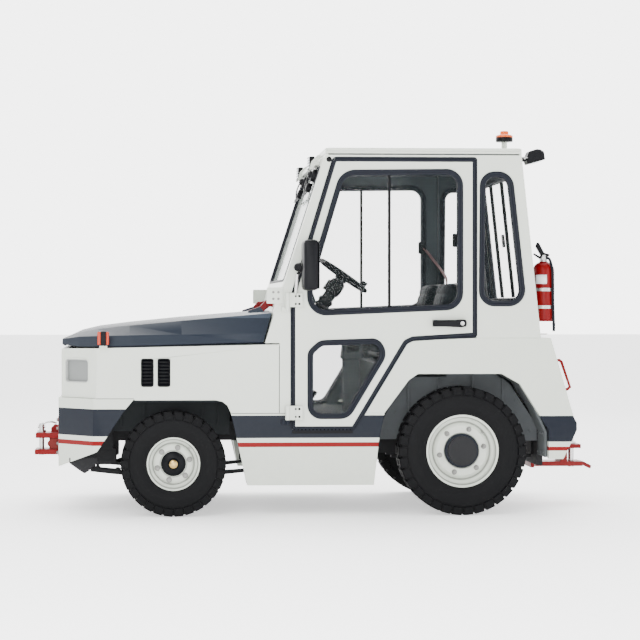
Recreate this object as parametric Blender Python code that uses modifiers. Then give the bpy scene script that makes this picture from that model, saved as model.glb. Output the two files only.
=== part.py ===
"""Airport baggage tug: a closed-cab tow tractor that rolls on four wheels.

Metres, +Z up.  The front faces -X, the left side faces -Y, and the origin lies on the ground
under the middle of the machine.
"""
import math

import bmesh
import bpy
from mathutils import Matrix, Vector

# ---------------------------------------------------------------- driving dimensions

GAP = 0.0003                 # between pieces that touch
CLEARANCE = 0.006            # round a moving door or lid

BODY_HALF_WIDTH = 0.700
PANEL = 0.040                # cab walls, doors, wings, bumper
GLASS = 0.006

FRONT_AXLE_X = -0.771
REAR_AXLE_X = 0.721
FRONT_TYRE_RADIUS = 0.271
FRONT_TYRE_WIDTH = 0.155
FRONT_RIM_RADIUS = 0.143
REAR_TYRE_RADIUS = 0.332
REAR_TYRE_WIDTH = 0.175
REAR_RIM_RADIUS = 0.194
WHEEL_INSET = 0.040          # wheel's outer face behind the body side
RIM_SHARE = 0.80             # rim's width as a share of the tyre's
DISC_DEPTH = 0.035           # wheel disc behind the rim's outer edge
DISC_THICKNESS = 0.022
SPINDLE_RADIUS = 0.030
REAR_HUB_RADIUS = 0.075

SKIRT_Z = 0.165              # bottom of the side boxes
DOOR_SILL_Z = 0.445
SEAM_Z = 0.533               # top of the side boxes in front of and behind the door
BUMPER_TOP_Z = 0.609
BELT_Z = 0.917               # top of the rear fenders
COWL_Z = 1.184               # foot of the windscreen
EAVES_Z = 1.862              # underside of the roof
ROOF_THICKNESS = 0.030

FRONT_FACE_X = -1.350        # nose of the wings
CHAMFER_LENGTH = 0.185       # corner of the nose, along X
CHAMFER_WIDTH = 0.200        # corner of the nose, along Y
FIREWALL_X = -0.230
COWL_X = -0.212              # foot of the windscreen
COWL_SHELF_X = -0.304
SHELF_Z = 0.892              # underside of the cowl, rear end of the bonnet's skirt
WINDSCREEN_RAKE = 0.3225     # back per unit up
DOOR_RAKE = 0.3035
REAR_WALL_X = 1.118          # outer face of the rear wall at the belt
REAR_RAKE = -0.1070
TAIL_X = 1.170               # top edge of the rear panel
TAIL_RAKE = -0.2924

DOOR_FRONT_X = -0.170        # door opening
DOOR_REAR_X = 0.784
DOOR_TOP_Z = 1.842
DOOR_KNEE_X = 0.456
DOOR_HEEL_X = 0.155
HINGE_X = -0.190
HINGE_OUT = 0.022            # hinge pin outboard of the body side
HINGE_RADIUS = 0.012
UPPER_HINGE_Z = 1.112
LOWER_HINGE_Z = 0.536

FRONT_SPRING_DROP = 0.050    # ends of the springs below the axles
REAR_SPRING_DROP = 0.043
RAIL_Y = 0.290
RAIL_WIDTH = 0.040
RAIL_TOP_Z = 0.470
LINER_DEPTH = 0.270          # wheel arch liners, in from the body side
KINGPIN_Y = 0.440
KINGPIN_RADIUS = 0.034
STEERING_ARM = 0.130
TIE_ROD_RADIUS = 0.014
FLOOR_THICKNESS = 0.030
RISER_X = 0.255              # front of the seat base
DECK_TOP_Z = 0.790
SEAT_Y = 0.330
SEAT_WIDTH = 0.480

STEERING_WHEEL_CENTRE = Vector((0.135, -0.300, 1.243))
STEERING_WHEEL_RADIUS = 0.143
COLUMN_TILT = math.radians(35.0)

BONNET_PIN = Vector((-0.268, 0.0, 1.092))
HINGE_ARM_Y = 0.350
HINGE_ARM_HALF = 0.014
FRONT_PIN_X = FRONT_FACE_X - 0.132
REAR_PIN_X = 1.425

RENDER_SEGMENTS = 32         # round a wheel

COLLECTION = bpy.data.collections.new("airport_baggage_tug")
SIDES = (("left", -1), ("right", 1))


# ---------------------------------------------------------------- tools

def empty_the_scene():
    for obj in list(bpy.data.objects):
        bpy.data.objects.remove(obj, do_unlink=True)
    bpy.context.scene.collection.children.link(COLLECTION)


def finish(name, colour, roughness, metallic=0.0):
    material = bpy.data.materials.new(name)
    material.use_nodes = True
    shader = material.node_tree.nodes["Principled BSDF"]
    shader.inputs["Base Color"].default_value = (*colour, 1.0)
    shader.inputs["Roughness"].default_value = roughness
    shader.inputs["Metallic"].default_value = metallic
    return material


def named(name, mesh):
    obj = bpy.data.objects.new(name, mesh)
    COLLECTION.objects.link(obj)
    return obj


def settle(obj):
    """Replace an object's mesh with the evaluated one, welded and facing outwards."""
    bpy.context.view_layer.update()
    evaluated = obj.evaluated_get(bpy.context.evaluated_depsgraph_get())
    mesh = bpy.data.meshes.new_from_object(evaluated)
    mesh.transform(obj.matrix_world)
    work = bmesh.new()
    work.from_mesh(mesh)
    bmesh.ops.remove_doubles(work, verts=work.verts, dist=0.00002)
    bmesh.ops.dissolve_degenerate(work, dist=0.00002, edges=work.edges)
    bmesh.ops.recalc_face_normals(work, faces=work.faces)
    work.to_mesh(mesh)
    work.free()
    settled = named(obj.name, mesh)
    name = obj.name
    bpy.data.objects.remove(obj, do_unlink=True)
    settled.name = name
    return settled


def box(name, low, high):
    low, high = Vector(low), Vector(high)
    mesh = bpy.data.meshes.new(name)
    work = bmesh.new()
    bmesh.ops.create_cube(work, size=1.0)
    work.to_mesh(mesh)
    work.free()
    size = high - low
    middle = (high + low) / 2
    mesh.transform(Matrix.Translation(middle) @ Matrix.Diagonal((*size, 1.0)))
    return named(name, mesh)


def rod(name, start, end, radius, segments=20, end_radius=None):
    start, end = Vector(start), Vector(end)
    mesh = bpy.data.meshes.new(name)
    work = bmesh.new()
    bmesh.ops.create_cone(work, cap_ends=True, segments=segments, radius1=radius,
                          radius2=radius if end_radius is None else end_radius,
                          depth=(end - start).length)
    work.to_mesh(mesh)
    work.free()
    turn = (end - start).to_track_quat("Z", "Y").to_matrix().to_4x4()
    mesh.transform(Matrix.Translation((start + end) / 2) @ turn)
    return named(name, mesh)


def tube(name, points, radius, cyclic=False):
    curve = bpy.data.curves.new(name, "CURVE")
    curve.dimensions = "3D"
    curve.bevel_depth = radius
    curve.bevel_resolution = 2
    curve.use_fill_caps = not cyclic
    spline = curve.splines.new("POLY")
    spline.points.add(len(points) - 1)
    for point, place in zip(spline.points, points):
        point.co = (*place, 1.0)
    spline.use_cyclic_u = cyclic
    return settle(named(name, curve))


def arc_corner(before, corner, after, radius, steps=3):
    """Points of a fillet of the given radius at a corner of an outline."""
    corner = Vector(corner)
    inward = (Vector(before) - corner).normalized()
    outward = (Vector(after) - corner).normalized()
    half = inward.angle(outward) / 2
    reach = radius / math.tan(half)
    centre = corner + (inward + outward).normalized() * (radius / math.sin(half))
    first = corner + inward * reach - centre
    last = corner + outward * reach - centre
    sweep = first.angle_signed(last)
    points = []
    for step in range(steps + 1):
        turn = -sweep * step / steps
        cosine, sine = math.cos(turn), math.sin(turn)
        points.append((centre.x + first.x * cosine - first.y * sine,
                       centre.y + first.x * sine + first.y * cosine))
    return points


def rounded(corners, steps=3):
    """An outline from corners (u, v) or (u, v, radius)."""
    points = []
    count = len(corners)
    for index, corner in enumerate(corners):
        if len(corner) == 2:
            points.append(tuple(corner))
            continue
        before = corners[index - 1][:2]
        after = corners[(index + 1) % count][:2]
        points += arc_corner(before, corner[:2], after, corner[2], steps)
    return points


PLANES = {
    "X": Matrix(((0, 0, 1, 0), (1, 0, 0, 0), (0, 1, 0, 0), (0, 0, 0, 1))),
    "Y": Matrix(((1, 0, 0, 0), (0, 0, -1, 0), (0, 1, 0, 0), (0, 0, 0, 1))),
    "Z": Matrix.Identity(4),
}


def slab(name, outline, low, high, axis="Y", holes=()):
    """A flat outline, with holes, as thick as from low to high along an axis.

    The outline's own two coordinates are X and Z for axis Y, Y and Z for axis X, and X and Y
    for axis Z.
    """
    curve = bpy.data.curves.new(name, "CURVE")
    curve.dimensions = "2D"
    curve.fill_mode = "BOTH"
    curve.extrude = abs(high - low) / 2
    for loop in (outline, *holes):
        spline = curve.splines.new("POLY")
        spline.points.add(len(loop) - 1)
        for point, (u, v) in zip(spline.points, loop):
            point.co = (u, v, 0.0, 1.0)
        spline.use_cyclic_u = True
    obj = named(name, curve)
    shift = Vector((0, 0, 0))
    shift["XYZ".index(axis)] = (low + high) / 2
    obj.matrix_world = Matrix.Translation(shift) @ PLANES[axis]
    return settle(obj)


def grown(outline, amount):
    """An outline offset outwards by an amount (inwards if negative)."""
    area = sum(a[0] * b[1] - b[0] * a[1] for a, b in zip(outline, outline[1:] + outline[:1]))
    turn = 1 if area > 0 else -1
    points = []
    count = len(outline)
    for index in range(count):
        here = Vector(outline[index])
        before = (here - Vector(outline[index - 1])).normalized()
        after = (Vector(outline[(index + 1) % count]) - here).normalized()
        normal_before = Vector((before.y, -before.x)) * turn
        normal_after = Vector((after.y, -after.x)) * turn
        middle = (normal_before + normal_after).normalized()
        points.append(tuple(here + middle * (amount / max(0.3, middle.dot(normal_after)))))
    return points


def turned(name, profile, centre, axis="Y", segments=RENDER_SEGMENTS, closed=False):
    """A profile of (radius, height) turned about an axis through a centre.

    The profile runs down its outer side, from the top to the bottom.
    """
    mesh = bpy.data.meshes.new(name)
    mesh.from_pydata([(radius, 0.0, height) for radius, height in profile], [], [])
    mesh.edges.add(len(profile) - (0 if closed else 1))
    for index, edge in enumerate(mesh.edges):
        edge.vertices = (index, (index + 1) % len(profile))
    obj = named(name, mesh)
    screw = obj.modifiers.new("turn", "SCREW")
    screw.steps = segments
    screw.render_steps = segments
    screw.use_merge_vertices = True
    screw.merge_threshold = 0.0001
    if axis == "Y":
        turn = Matrix.Rotation(math.radians(90), 4, "X")
    else:
        turn = Matrix.Identity(4)
    obj.matrix_world = Matrix.Translation(centre) @ turn
    return smooth(settle(obj))


def smooth(obj, angle=35):
    obj.data.shade_smooth()
    obj.data.set_sharp_from_angle(angle=math.radians(angle))
    return obj


def combine(kind, first, others):
    """Union with, cut by or keep what is common with the other pieces, which are used up."""
    for other in others:
        boolean = first.modifiers.new(kind.lower(), "BOOLEAN")
        boolean.operation = kind
        boolean.object = other
        boolean.solver = "EXACT"
        first = settle(first)
        bpy.data.objects.remove(other, do_unlink=True)
    return first


def join(first, *others):
    return combine("UNION", first, others)


def cut(first, *others):
    return combine("DIFFERENCE", first, others)


def common(first, *others):
    return combine("INTERSECT", first, others)


def softened(obj, width, segments=2, angle=40):
    """Bevel the edges that are sharper than an angle."""
    bevel = obj.modifiers.new("soft_edges", "BEVEL")
    bevel.width = width
    bevel.segments = segments
    bevel.limit_method = "ANGLE"
    bevel.angle_limit = math.radians(angle)
    bevel.use_clamp_overlap = True
    return obj


def pivot(name, place, parent=None):
    empty = bpy.data.objects.new(name, None)
    COLLECTION.objects.link(empty)
    empty.location = Vector(place) - (parent.matrix_world.translation if parent else Vector())
    empty.parent = parent
    bpy.context.view_layer.update()
    return empty


def hang(obj, empty):
    """Put an object's origin on a joint's axis and parent it there."""
    obj.data.transform(Matrix.Translation(-empty.matrix_world.translation))
    obj.parent = empty
    return obj


def coat(obj, material):
    obj.data.materials.clear()
    obj.data.materials.append(material)
    return obj


def along_side(side, outer, inner):
    """Low and high Y of a layer between two distances from the middle, on one side."""
    return (-outer, -inner) if side < 0 else (inner, outer)


def windscreen_x(z):
    return COWL_X + (z - COWL_Z) * WINDSCREEN_RAKE


def rear_wall_x(z):
    return REAR_WALL_X + (z - BELT_Z) * REAR_RAKE


def tail_x(z):
    return TAIL_X + (z - BELT_Z) * TAIL_RAKE


# ---------------------------------------------------------------- finishes

def make_finishes():
    return {
        "cream": finish("cream_paint", (0.63, 0.65, 0.61), 0.35),
        "navy": finish("navy_paint", (0.026, 0.033, 0.055), 0.35),
        "red": finish("red_paint", (0.61, 0.0, 0.007), 0.35),
        "black": finish("black_paint", (0.01, 0.01, 0.012), 0.5),
        "rubber": finish("tyre_rubber", (0.012, 0.012, 0.014), 0.8),
        "glass": finish("glass", (0.8, 0.85, 0.85), 0.05),
        "steel": finish("bright_steel", (0.5, 0.5, 0.5), 0.3, 1.0),
        "trim": finish("grey_trim", (0.07, 0.08, 0.085), 0.6),
        "vinyl": finish("seat_vinyl", (0.02, 0.022, 0.026), 0.55),
        "amber": finish("amber_lens", (0.9, 0.2, 0.01), 0.2),
        "iron": finish("cast_iron", (0.05, 0.05, 0.052), 0.6),
    }


# ---------------------------------------------------------------- chassis and axles

def make_chassis(mats):
    front = FRONT_FACE_X - 0.015 + PANEL + GAP
    # outline of one rail from the side: low under the cab, raised over both axles
    rail = [(front, 0.370), (front, RAIL_TOP_Z - GAP), (RISER_X + 0.035, RAIL_TOP_Z - GAP),
            (REAR_AXLE_X - 0.300, 0.560), (TAIL_X + 0.010, 0.560), (TAIL_X + 0.010, 0.240),
            (TAIL_X - 0.020, 0.240), (TAIL_X - 0.020, 0.460), (REAR_AXLE_X - 0.230, 0.460),
            (REAR_AXLE_X - 0.340, 0.300), (FRONT_AXLE_X + 0.400, 0.300),
            (FRONT_AXLE_X + 0.330, 0.370)]
    pieces = []
    for _, side in SIDES:
        low, high = along_side(side, RAIL_Y + RAIL_WIDTH / 2, RAIL_Y - RAIL_WIDTH / 2)
        pieces.append(slab("rail", rail, low, high))
    inner = RAIL_Y
    # cross members: (x from, x to, z from, z to, half width)
    members = [
        (front, front + 0.050, 0.375, 0.455, inner),
        (-0.620, -0.560, 0.375, 0.399, inner),
        (-0.940, -0.880, 0.375, 0.399, inner),
        (-0.330, -0.270, 0.360, 0.440, BODY_HALF_WIDTH - 0.2 - GAP),
        (0.180, 0.240, 0.360, 0.440, BODY_HALF_WIDTH - 0.2 - GAP),
        (TAIL_X - 0.020, TAIL_X + 0.010, 0.240, 0.540, BODY_HALF_WIDTH - LINER_DEPTH - GAP),
    ]
    for x0, x1, z0, z1, half in members:
        pieces.append(box("member", (x0, -half, z0), (x1, half, z1)))
    # spring hangers: (x, half length, bottom z)
    front_eye = FRONT_TYRE_RADIUS - FRONT_SPRING_DROP + GAP
    rear_eye = REAR_TYRE_RADIUS - REAR_SPRING_DROP + GAP
    hangers = [(FRONT_AXLE_X - 0.440, 0.030, front_eye), (FRONT_AXLE_X + 0.405, 0.030, front_eye),
               (REAR_AXLE_X - 0.330, 0.028, rear_eye), (REAR_AXLE_X + 0.435, 0.014, rear_eye)]
    for x, half, bottom in hangers:
        for _, side in SIDES:
            low, high = along_side(side, RAIL_Y + RAIL_WIDTH / 2 - 0.002,
                                   RAIL_Y - RAIL_WIDTH / 2 + 0.002)
            pieces.append(box("hanger", (x - half, low, bottom), (x + half, high, 0.420)))
    frame = join(pieces[0], *pieces[1:])
    frame.name = "chassis_frame"
    return coat(frame, mats["black"])


def spring_pack(x, reach, end_z, seat_z, side):
    """A leaf spring seen from the side: two arcs as an outline, seated under the axle."""
    low, high = along_side(side, RAIL_Y + 0.025, RAIL_Y - 0.025)
    steps = 8
    upper = []
    lower = []
    for step in range(steps + 1):
        share = -1 + 2 * step / steps
        rise = (end_z - seat_z) * share ** 2
        thick = 0.030 - 0.016 * abs(share)
        upper.append((x + reach * share, seat_z + rise))
        lower.append((x + reach * share, seat_z + rise - thick))
    return slab("spring", upper + lower[::-1], low, high)


def make_front_axle(mats):
    height = FRONT_TYRE_RADIUS
    beam = box("front_axle", (FRONT_AXLE_X - 0.035, -KINGPIN_Y, height - 0.035),
               (FRONT_AXLE_X + 0.035, KINGPIN_Y, height + 0.035))
    pieces = []
    for _, side in SIDES:
        pieces.append(rod("boss", (FRONT_AXLE_X, side * KINGPIN_Y, height - 0.040),
                          (FRONT_AXLE_X, side * KINGPIN_Y, height + 0.040), 0.042, 24))
        pieces.append(spring_pack(FRONT_AXLE_X, 0.435, height - FRONT_SPRING_DROP,
                                  height - 0.070, side))
        pieces.append(box("seat", (FRONT_AXLE_X - 0.060, side * RAIL_Y - 0.030, height - 0.080),
                          (FRONT_AXLE_X + 0.060, side * RAIL_Y + 0.030, height - 0.020)))
    axle = join(beam, *pieces)
    return coat(axle, mats["iron"])


def wheel_disc(width):
    """Distance from the middle of the machine to the inner face of a wheel's disc."""
    middle = BODY_HALF_WIDTH - WHEEL_INSET - width / 2
    return middle + width / 2 * RIM_SHARE - DISC_DEPTH - DISC_THICKNESS


def make_rear_axle(mats):
    height = REAR_TYRE_RADIUS
    inner_face = BODY_HALF_WIDTH - WHEEL_INSET - REAR_TYRE_WIDTH
    axle = rod("rear_axle", (REAR_AXLE_X, -inner_face, height),
               (REAR_AXLE_X, inner_face, height), 0.050, 24)
    casing = [(0.0, 0.110), (0.060, 0.100), (0.120, 0.055), (0.135, 0.0),
              (0.120, -0.055), (0.060, -0.100), (0.0, -0.110)]
    pieces = [turned("casing", casing, (REAR_AXLE_X, 0.0, height), "Y", 24),
              rod("nose", (REAR_AXLE_X - 0.200, 0, height + 0.020),
                  (REAR_AXLE_X, 0, height), 0.050, 20, 0.080)]
    for _, side in SIDES:
        disc = wheel_disc(REAR_TYRE_WIDTH)
        pieces.append(rod("drum", (REAR_AXLE_X, side * (inner_face - 0.055), height),
                          (REAR_AXLE_X, side * (disc - GAP), height), 0.120, 32))
        pieces.append(rod("hub", (REAR_AXLE_X, side * (disc - 0.020), height),
                          (REAR_AXLE_X, side * (disc + 0.055), height), REAR_HUB_RADIUS, 28))
        pieces.append(spring_pack(REAR_AXLE_X + 0.045, 0.375, height - REAR_SPRING_DROP,
                                  height - 0.070, side))
        pieces.append(box("seat", (REAR_AXLE_X - 0.060, side * RAIL_Y - 0.030, height - 0.085),
                          (REAR_AXLE_X + 0.060, side * RAIL_Y + 0.030, height - 0.020)))
    axle = join(axle, *pieces)
    return coat(axle, mats["iron"])


def make_engine(mats):
    return coat(box("engine_block", (-0.980, -0.240, 0.3993), (-0.420, 0.240, 0.840)), mats["iron"])


# ---------------------------------------------------------------- wheels

def tyre_profile(radius, width, bead_radius):
    """Half section of a tyre, from the top of the bead round the tread to the bottom bead."""
    half = width / 2
    section = radius - bead_radius
    crown = [(bead_radius + GAP, half * RIM_SHARE), (bead_radius + section * 0.25, half * 0.97),
             (bead_radius + section * 0.60, half), (radius - section * 0.22, half * 0.97),
             (radius - section * 0.06, half * 0.86), (radius, half * 0.66)]
    return crown + [(r, -h) for r, h in reversed(crown)]


def make_wheel(place, side, x, tyre_radius, tyre_width, rim_radius, bore, mats):
    """Tyre and rim of one wheel; the rim's disc is dished towards the outer side."""
    outer = BODY_HALF_WIDTH - WHEEL_INSET
    middle = side * (outer - tyre_width / 2)
    centre = (x, middle, tyre_radius)
    tyre = turned(place + "_tyre", tyre_profile(tyre_radius, tyre_width, rim_radius - 0.006),
                  centre, closed=True)
    coat(tyre, mats["rubber"])
    half = tyre_width / 2 * RIM_SHARE
    lip = rim_radius - 0.006
    well = rim_radius - 0.020
    disc = half - DISC_DEPTH                 # outer face of the disc
    # closed section of the rim, outer lip first; heights are positive towards the outer side
    section = [(lip, half), (lip, -half), (well - 0.004, -half), (well - 0.012, disc - DISC_THICKNESS),
               (bore, disc - DISC_THICKNESS), (bore, disc + 0.012), (bore + 0.045, disc + 0.012),
               (bore + 0.050, disc), (well - 0.030, disc), (well - 0.010, half)]
    if side > 0:
        section = [(r, -h) for r, h in reversed(section)]
    rim = turned(place + "_rim", section, centre, closed=True)
    coat(rim, mats["cream"])
    return tyre, rim


def make_wheels(mats):
    steer_pivots = make_steering(mats)
    flat = math.cos(math.pi / RENDER_SEGMENTS)     # a bore's facets lie this much further in
    spindle_bore = (SPINDLE_RADIUS + GAP) / flat
    axle_bore = (REAR_HUB_RADIUS + GAP) / flat
    # place, side, x, tyre radius, tyre width, rim radius, bore, parent
    table = [
        ("front_left", -1, FRONT_AXLE_X, FRONT_TYRE_RADIUS, FRONT_TYRE_WIDTH, FRONT_RIM_RADIUS,
         spindle_bore, steer_pivots[0]),
        ("front_right", 1, FRONT_AXLE_X, FRONT_TYRE_RADIUS, FRONT_TYRE_WIDTH, FRONT_RIM_RADIUS,
         spindle_bore, steer_pivots[1]),
        ("rear_left", -1, REAR_AXLE_X, REAR_TYRE_RADIUS, REAR_TYRE_WIDTH, REAR_RIM_RADIUS,
         axle_bore, None),
        ("rear_right", 1, REAR_AXLE_X, REAR_TYRE_RADIUS, REAR_TYRE_WIDTH, REAR_RIM_RADIUS,
         axle_bore, None),
    ]
    for place, side, x, tyre_radius, tyre_width, rim_radius, bore, parent in table:
        tyre, rim = make_wheel(place, side, x, tyre_radius, tyre_width, rim_radius, bore, mats)
        middle = side * (BODY_HALF_WIDTH - WHEEL_INSET - tyre_width / 2)
        spin = pivot(place + "_spin", (x, middle, tyre_radius), parent)
        hang(tyre, spin)
        hang(rim, spin)


def make_steering(mats):
    """Knuckles that turn on the axle's kingpins, and the tie rod between their arms."""
    height = FRONT_TYRE_RADIUS
    boss = 0.040
    pivots = []
    for name, side in SIDES:
        kingpin = Vector((FRONT_AXLE_X, side * KINGPIN_Y, height))
        disc = wheel_disc(FRONT_TYRE_WIDTH)
        back = KINGPIN_Y + 0.052
        low, high = along_side(side, back, KINGPIN_Y - 0.030)
        upper = box("knuckle_" + name, (FRONT_AXLE_X - 0.032, low, height + boss + GAP),
                    (FRONT_AXLE_X + 0.032, high, height + boss + 0.024))
        lower = box("lug", (FRONT_AXLE_X - 0.032, low, height - boss - 0.024),
                    (FRONT_AXLE_X + 0.032, high, height - boss - GAP))
        low, high = along_side(side, back, back - 0.008)
        plate = box("plate", (FRONT_AXLE_X - 0.045, low, height - boss - 0.024),
                    (FRONT_AXLE_X + 0.045, high, height + boss + 0.024))
        spindle = rod("spindle", (FRONT_AXLE_X, side * (back - 0.004), height),
                      (FRONT_AXLE_X, side * (disc + 0.040), height), SPINDLE_RADIUS, 24)
        drum = rod("drum", (FRONT_AXLE_X, side * (back + 0.012), height),
                   (FRONT_AXLE_X, side * (disc - GAP), height), 0.085, 28)
        low, high = along_side(side, KINGPIN_Y + 0.016, KINGPIN_Y - 0.016)
        arm = box("arm", (FRONT_AXLE_X, low, height + boss + 0.006),
                  (FRONT_AXLE_X + STEERING_ARM + 0.018, high, height + boss + 0.024))
        knuckle = join(upper, lower, plate, spindle, drum, arm)
        coat(knuckle, mats["iron"])
        turn = pivot("steer_" + name, kingpin)
        hang(knuckle, turn)
        pivots.append(turn)
    end_x = FRONT_AXLE_X + STEERING_ARM
    base = height + boss + 0.024 + GAP
    rod_z = base + TIE_ROD_RADIUS
    bar = rod("tie_rod", (end_x, -KINGPIN_Y, rod_z), (end_x, KINGPIN_Y, rod_z), TIE_ROD_RADIUS, 14)
    ends = []
    for _, side in SIDES:
        ends.append(rod("eye", (end_x, side * KINGPIN_Y, base),
                        (end_x, side * KINGPIN_Y, base + 2 * TIE_ROD_RADIUS + 0.002), 0.018, 16))
    bar = coat(join(bar, *ends), mats["iron"])
    hang(bar, pivot("tie_rod_turn", (end_x, -KINGPIN_Y, rod_z), pivots[0]))
    return pivots


# ---------------------------------------------------------------- nose and bonnet

def nose_plan(front, depth, half_width):
    """Plan of a wall round the nose: outer line, then the inner line back, depth inside."""
    crease = front + CHAMFER_LENGTH
    slant = depth * 0.42
    outer = [(crease, -half_width), (front, -half_width + CHAMFER_WIDTH),
             (front, half_width - CHAMFER_WIDTH), (crease, half_width)]
    inner = [(crease + slant, half_width - depth),
             (front + depth, half_width - CHAMFER_WIDTH - slant),
             (front + depth, -half_width + CHAMFER_WIDTH + slant),
             (crease + slant, -half_width + depth)]
    return outer, inner


def make_bumper(mats):
    front = FRONT_FACE_X - 0.015
    outer, inner = nose_plan(front, PANEL, BODY_HALF_WIDTH)
    tail = FRONT_AXLE_X - 0.150
    plan = [(tail, -BODY_HALF_WIDTH), *outer, (tail, BODY_HALF_WIDTH),
            (tail, BODY_HALF_WIDTH - PANEL), *inner, (tail, -BODY_HALF_WIDTH + PANEL)]
    wall = slab("front_bumper", plan, 0.200, BUMPER_TOP_Z, "Z")
    arch_x = FRONT_AXLE_X - 0.201
    side_view = [(front - 0.050, 0.240), (front - 0.050, 0.700), (arch_x, 0.700),
                 (arch_x, BUMPER_TOP_Z - 0.002), (arch_x - 0.046, 0.552), (arch_x - 0.133, 0.420),
                 (arch_x - 0.188, 0.339), (front, 0.250)]
    keep = slab("keep", side_view, -1.0, 1.0)
    return coat(common(wall, keep), mats["cream"])


def make_wings(mats):
    """Upper nose panels, left and right of the grille, with the lamp openings and the vents."""
    top = [(FRONT_FACE_X, 0.862), (FRONT_FACE_X + CHAMFER_LENGTH, 0.866),
           (FIREWALL_X, 0.886)]
    for name, side in SIDES:
        half = BODY_HALF_WIDTH
        crease = FRONT_FACE_X + CHAMFER_LENGTH
        slant = PANEL * 0.42
        grille_half = 0.340
        rear = FIREWALL_X - GAP
        plan = [(rear, half), (crease, half), (FRONT_FACE_X, half - CHAMFER_WIDTH),
                (FRONT_FACE_X, grille_half), (FRONT_FACE_X + PANEL, grille_half),
                (FRONT_FACE_X + PANEL, half - CHAMFER_WIDTH - slant),
                (crease + slant, half - PANEL), (rear, half - PANEL)]
        plan = [(x, y * side) for x, y in plan]
        wing = slab("wing_" + name, plan, 0.400, 1.000, "Z")
        seam = BUMPER_TOP_Z + GAP
        side_view = [(FRONT_FACE_X - 0.1, seam), (FRONT_FACE_X - 0.1, top[0][1]), *top,
                     (0.0, top[2][1]), (0.0, SEAM_Z + GAP),
                     (FRONT_AXLE_X + 0.293, SEAM_Z + GAP), (FRONT_AXLE_X + 0.275, 0.572),
                     (FRONT_AXLE_X + 0.250, 0.592), (FRONT_AXLE_X + 0.217, 0.600),
                     (FRONT_AXLE_X - 0.200, 0.600), (FRONT_AXLE_X - 0.200, seam)]
        wing = common(wing, slab("keep", side_view, -1.0, 1.0))
        cutters = [lamp_opening(side)]
        # vents: x from, x to
        for x0, x1 in ((-0.934, -0.875), (-0.850, -0.790)):
            low, high = along_side(side, half + 0.010, half - 0.020)
            cutters.append(box("vent", (x0, low, 0.672), (x1, high, 0.811)))
        wing = cut(wing, *cutters)
        coat(wing, mats["cream"])


def chamfer_frame(side):
    """Matrix of the slanted corner face: local X along it, Y inwards, Z up."""
    start = Vector((FRONT_FACE_X, side * (BODY_HALF_WIDTH - CHAMFER_WIDTH), 0.0))
    end = Vector((FRONT_FACE_X + CHAMFER_LENGTH, side * BODY_HALF_WIDTH, 0.0))
    along = (end - start).normalized()
    inward = Vector((along.y, -along.x, 0.0)) * side
    middle = (start + end) / 2 + Vector((0, 0, 0.749))
    frame = Matrix((along, inward, Vector((0, 0, 1)))).transposed().to_4x4()
    return Matrix.Translation(middle) @ frame


def lamp_outline(grow=0.0):
    front, back, half_height = -0.106 - grow, 0.076 + grow, 0.060 + grow
    radius = 0.020 + grow
    return rounded([(front, -half_height, radius), (back, -half_height, radius),
                    (back, half_height, radius), (front, half_height, radius)])


def lamp_block(name, side, outline, start, end):
    block = slab(name, outline, start, end)
    block.data.transform(chamfer_frame(side))
    return settle(block)


def lamp_opening(side):
    return lamp_block("opening", side, lamp_outline(), -0.050, 0.080)


def make_headlights(mats):
    """Lamp housings behind the openings, open to the outside like a deep tray."""
    for name, side in SIDES:
        body = lamp_block("headlight_" + name, side, lamp_outline(-GAP), 0.002, 0.110)
        hollow = lamp_block("hollow", side, lamp_outline(-0.006), -0.050, 0.085)
        coat(cut(body, hollow), mats["trim"])


def make_grille(mats):
    half = 0.340 - GAP
    plate = box("nose_grille", (FRONT_FACE_X, -half, BUMPER_TOP_Z + GAP),
                (FRONT_FACE_X + PANEL, half, 0.862))
    slots = []
    for row in range(5):
        z = 0.655 + 0.038 * row
        slots.append(box("slot", (FRONT_FACE_X - 0.01, -0.270, z),
                         (FRONT_FACE_X + PANEL + 0.01, 0.270, z + 0.018)))
    return coat(cut(plate, *slots), mats["navy"])


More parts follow.
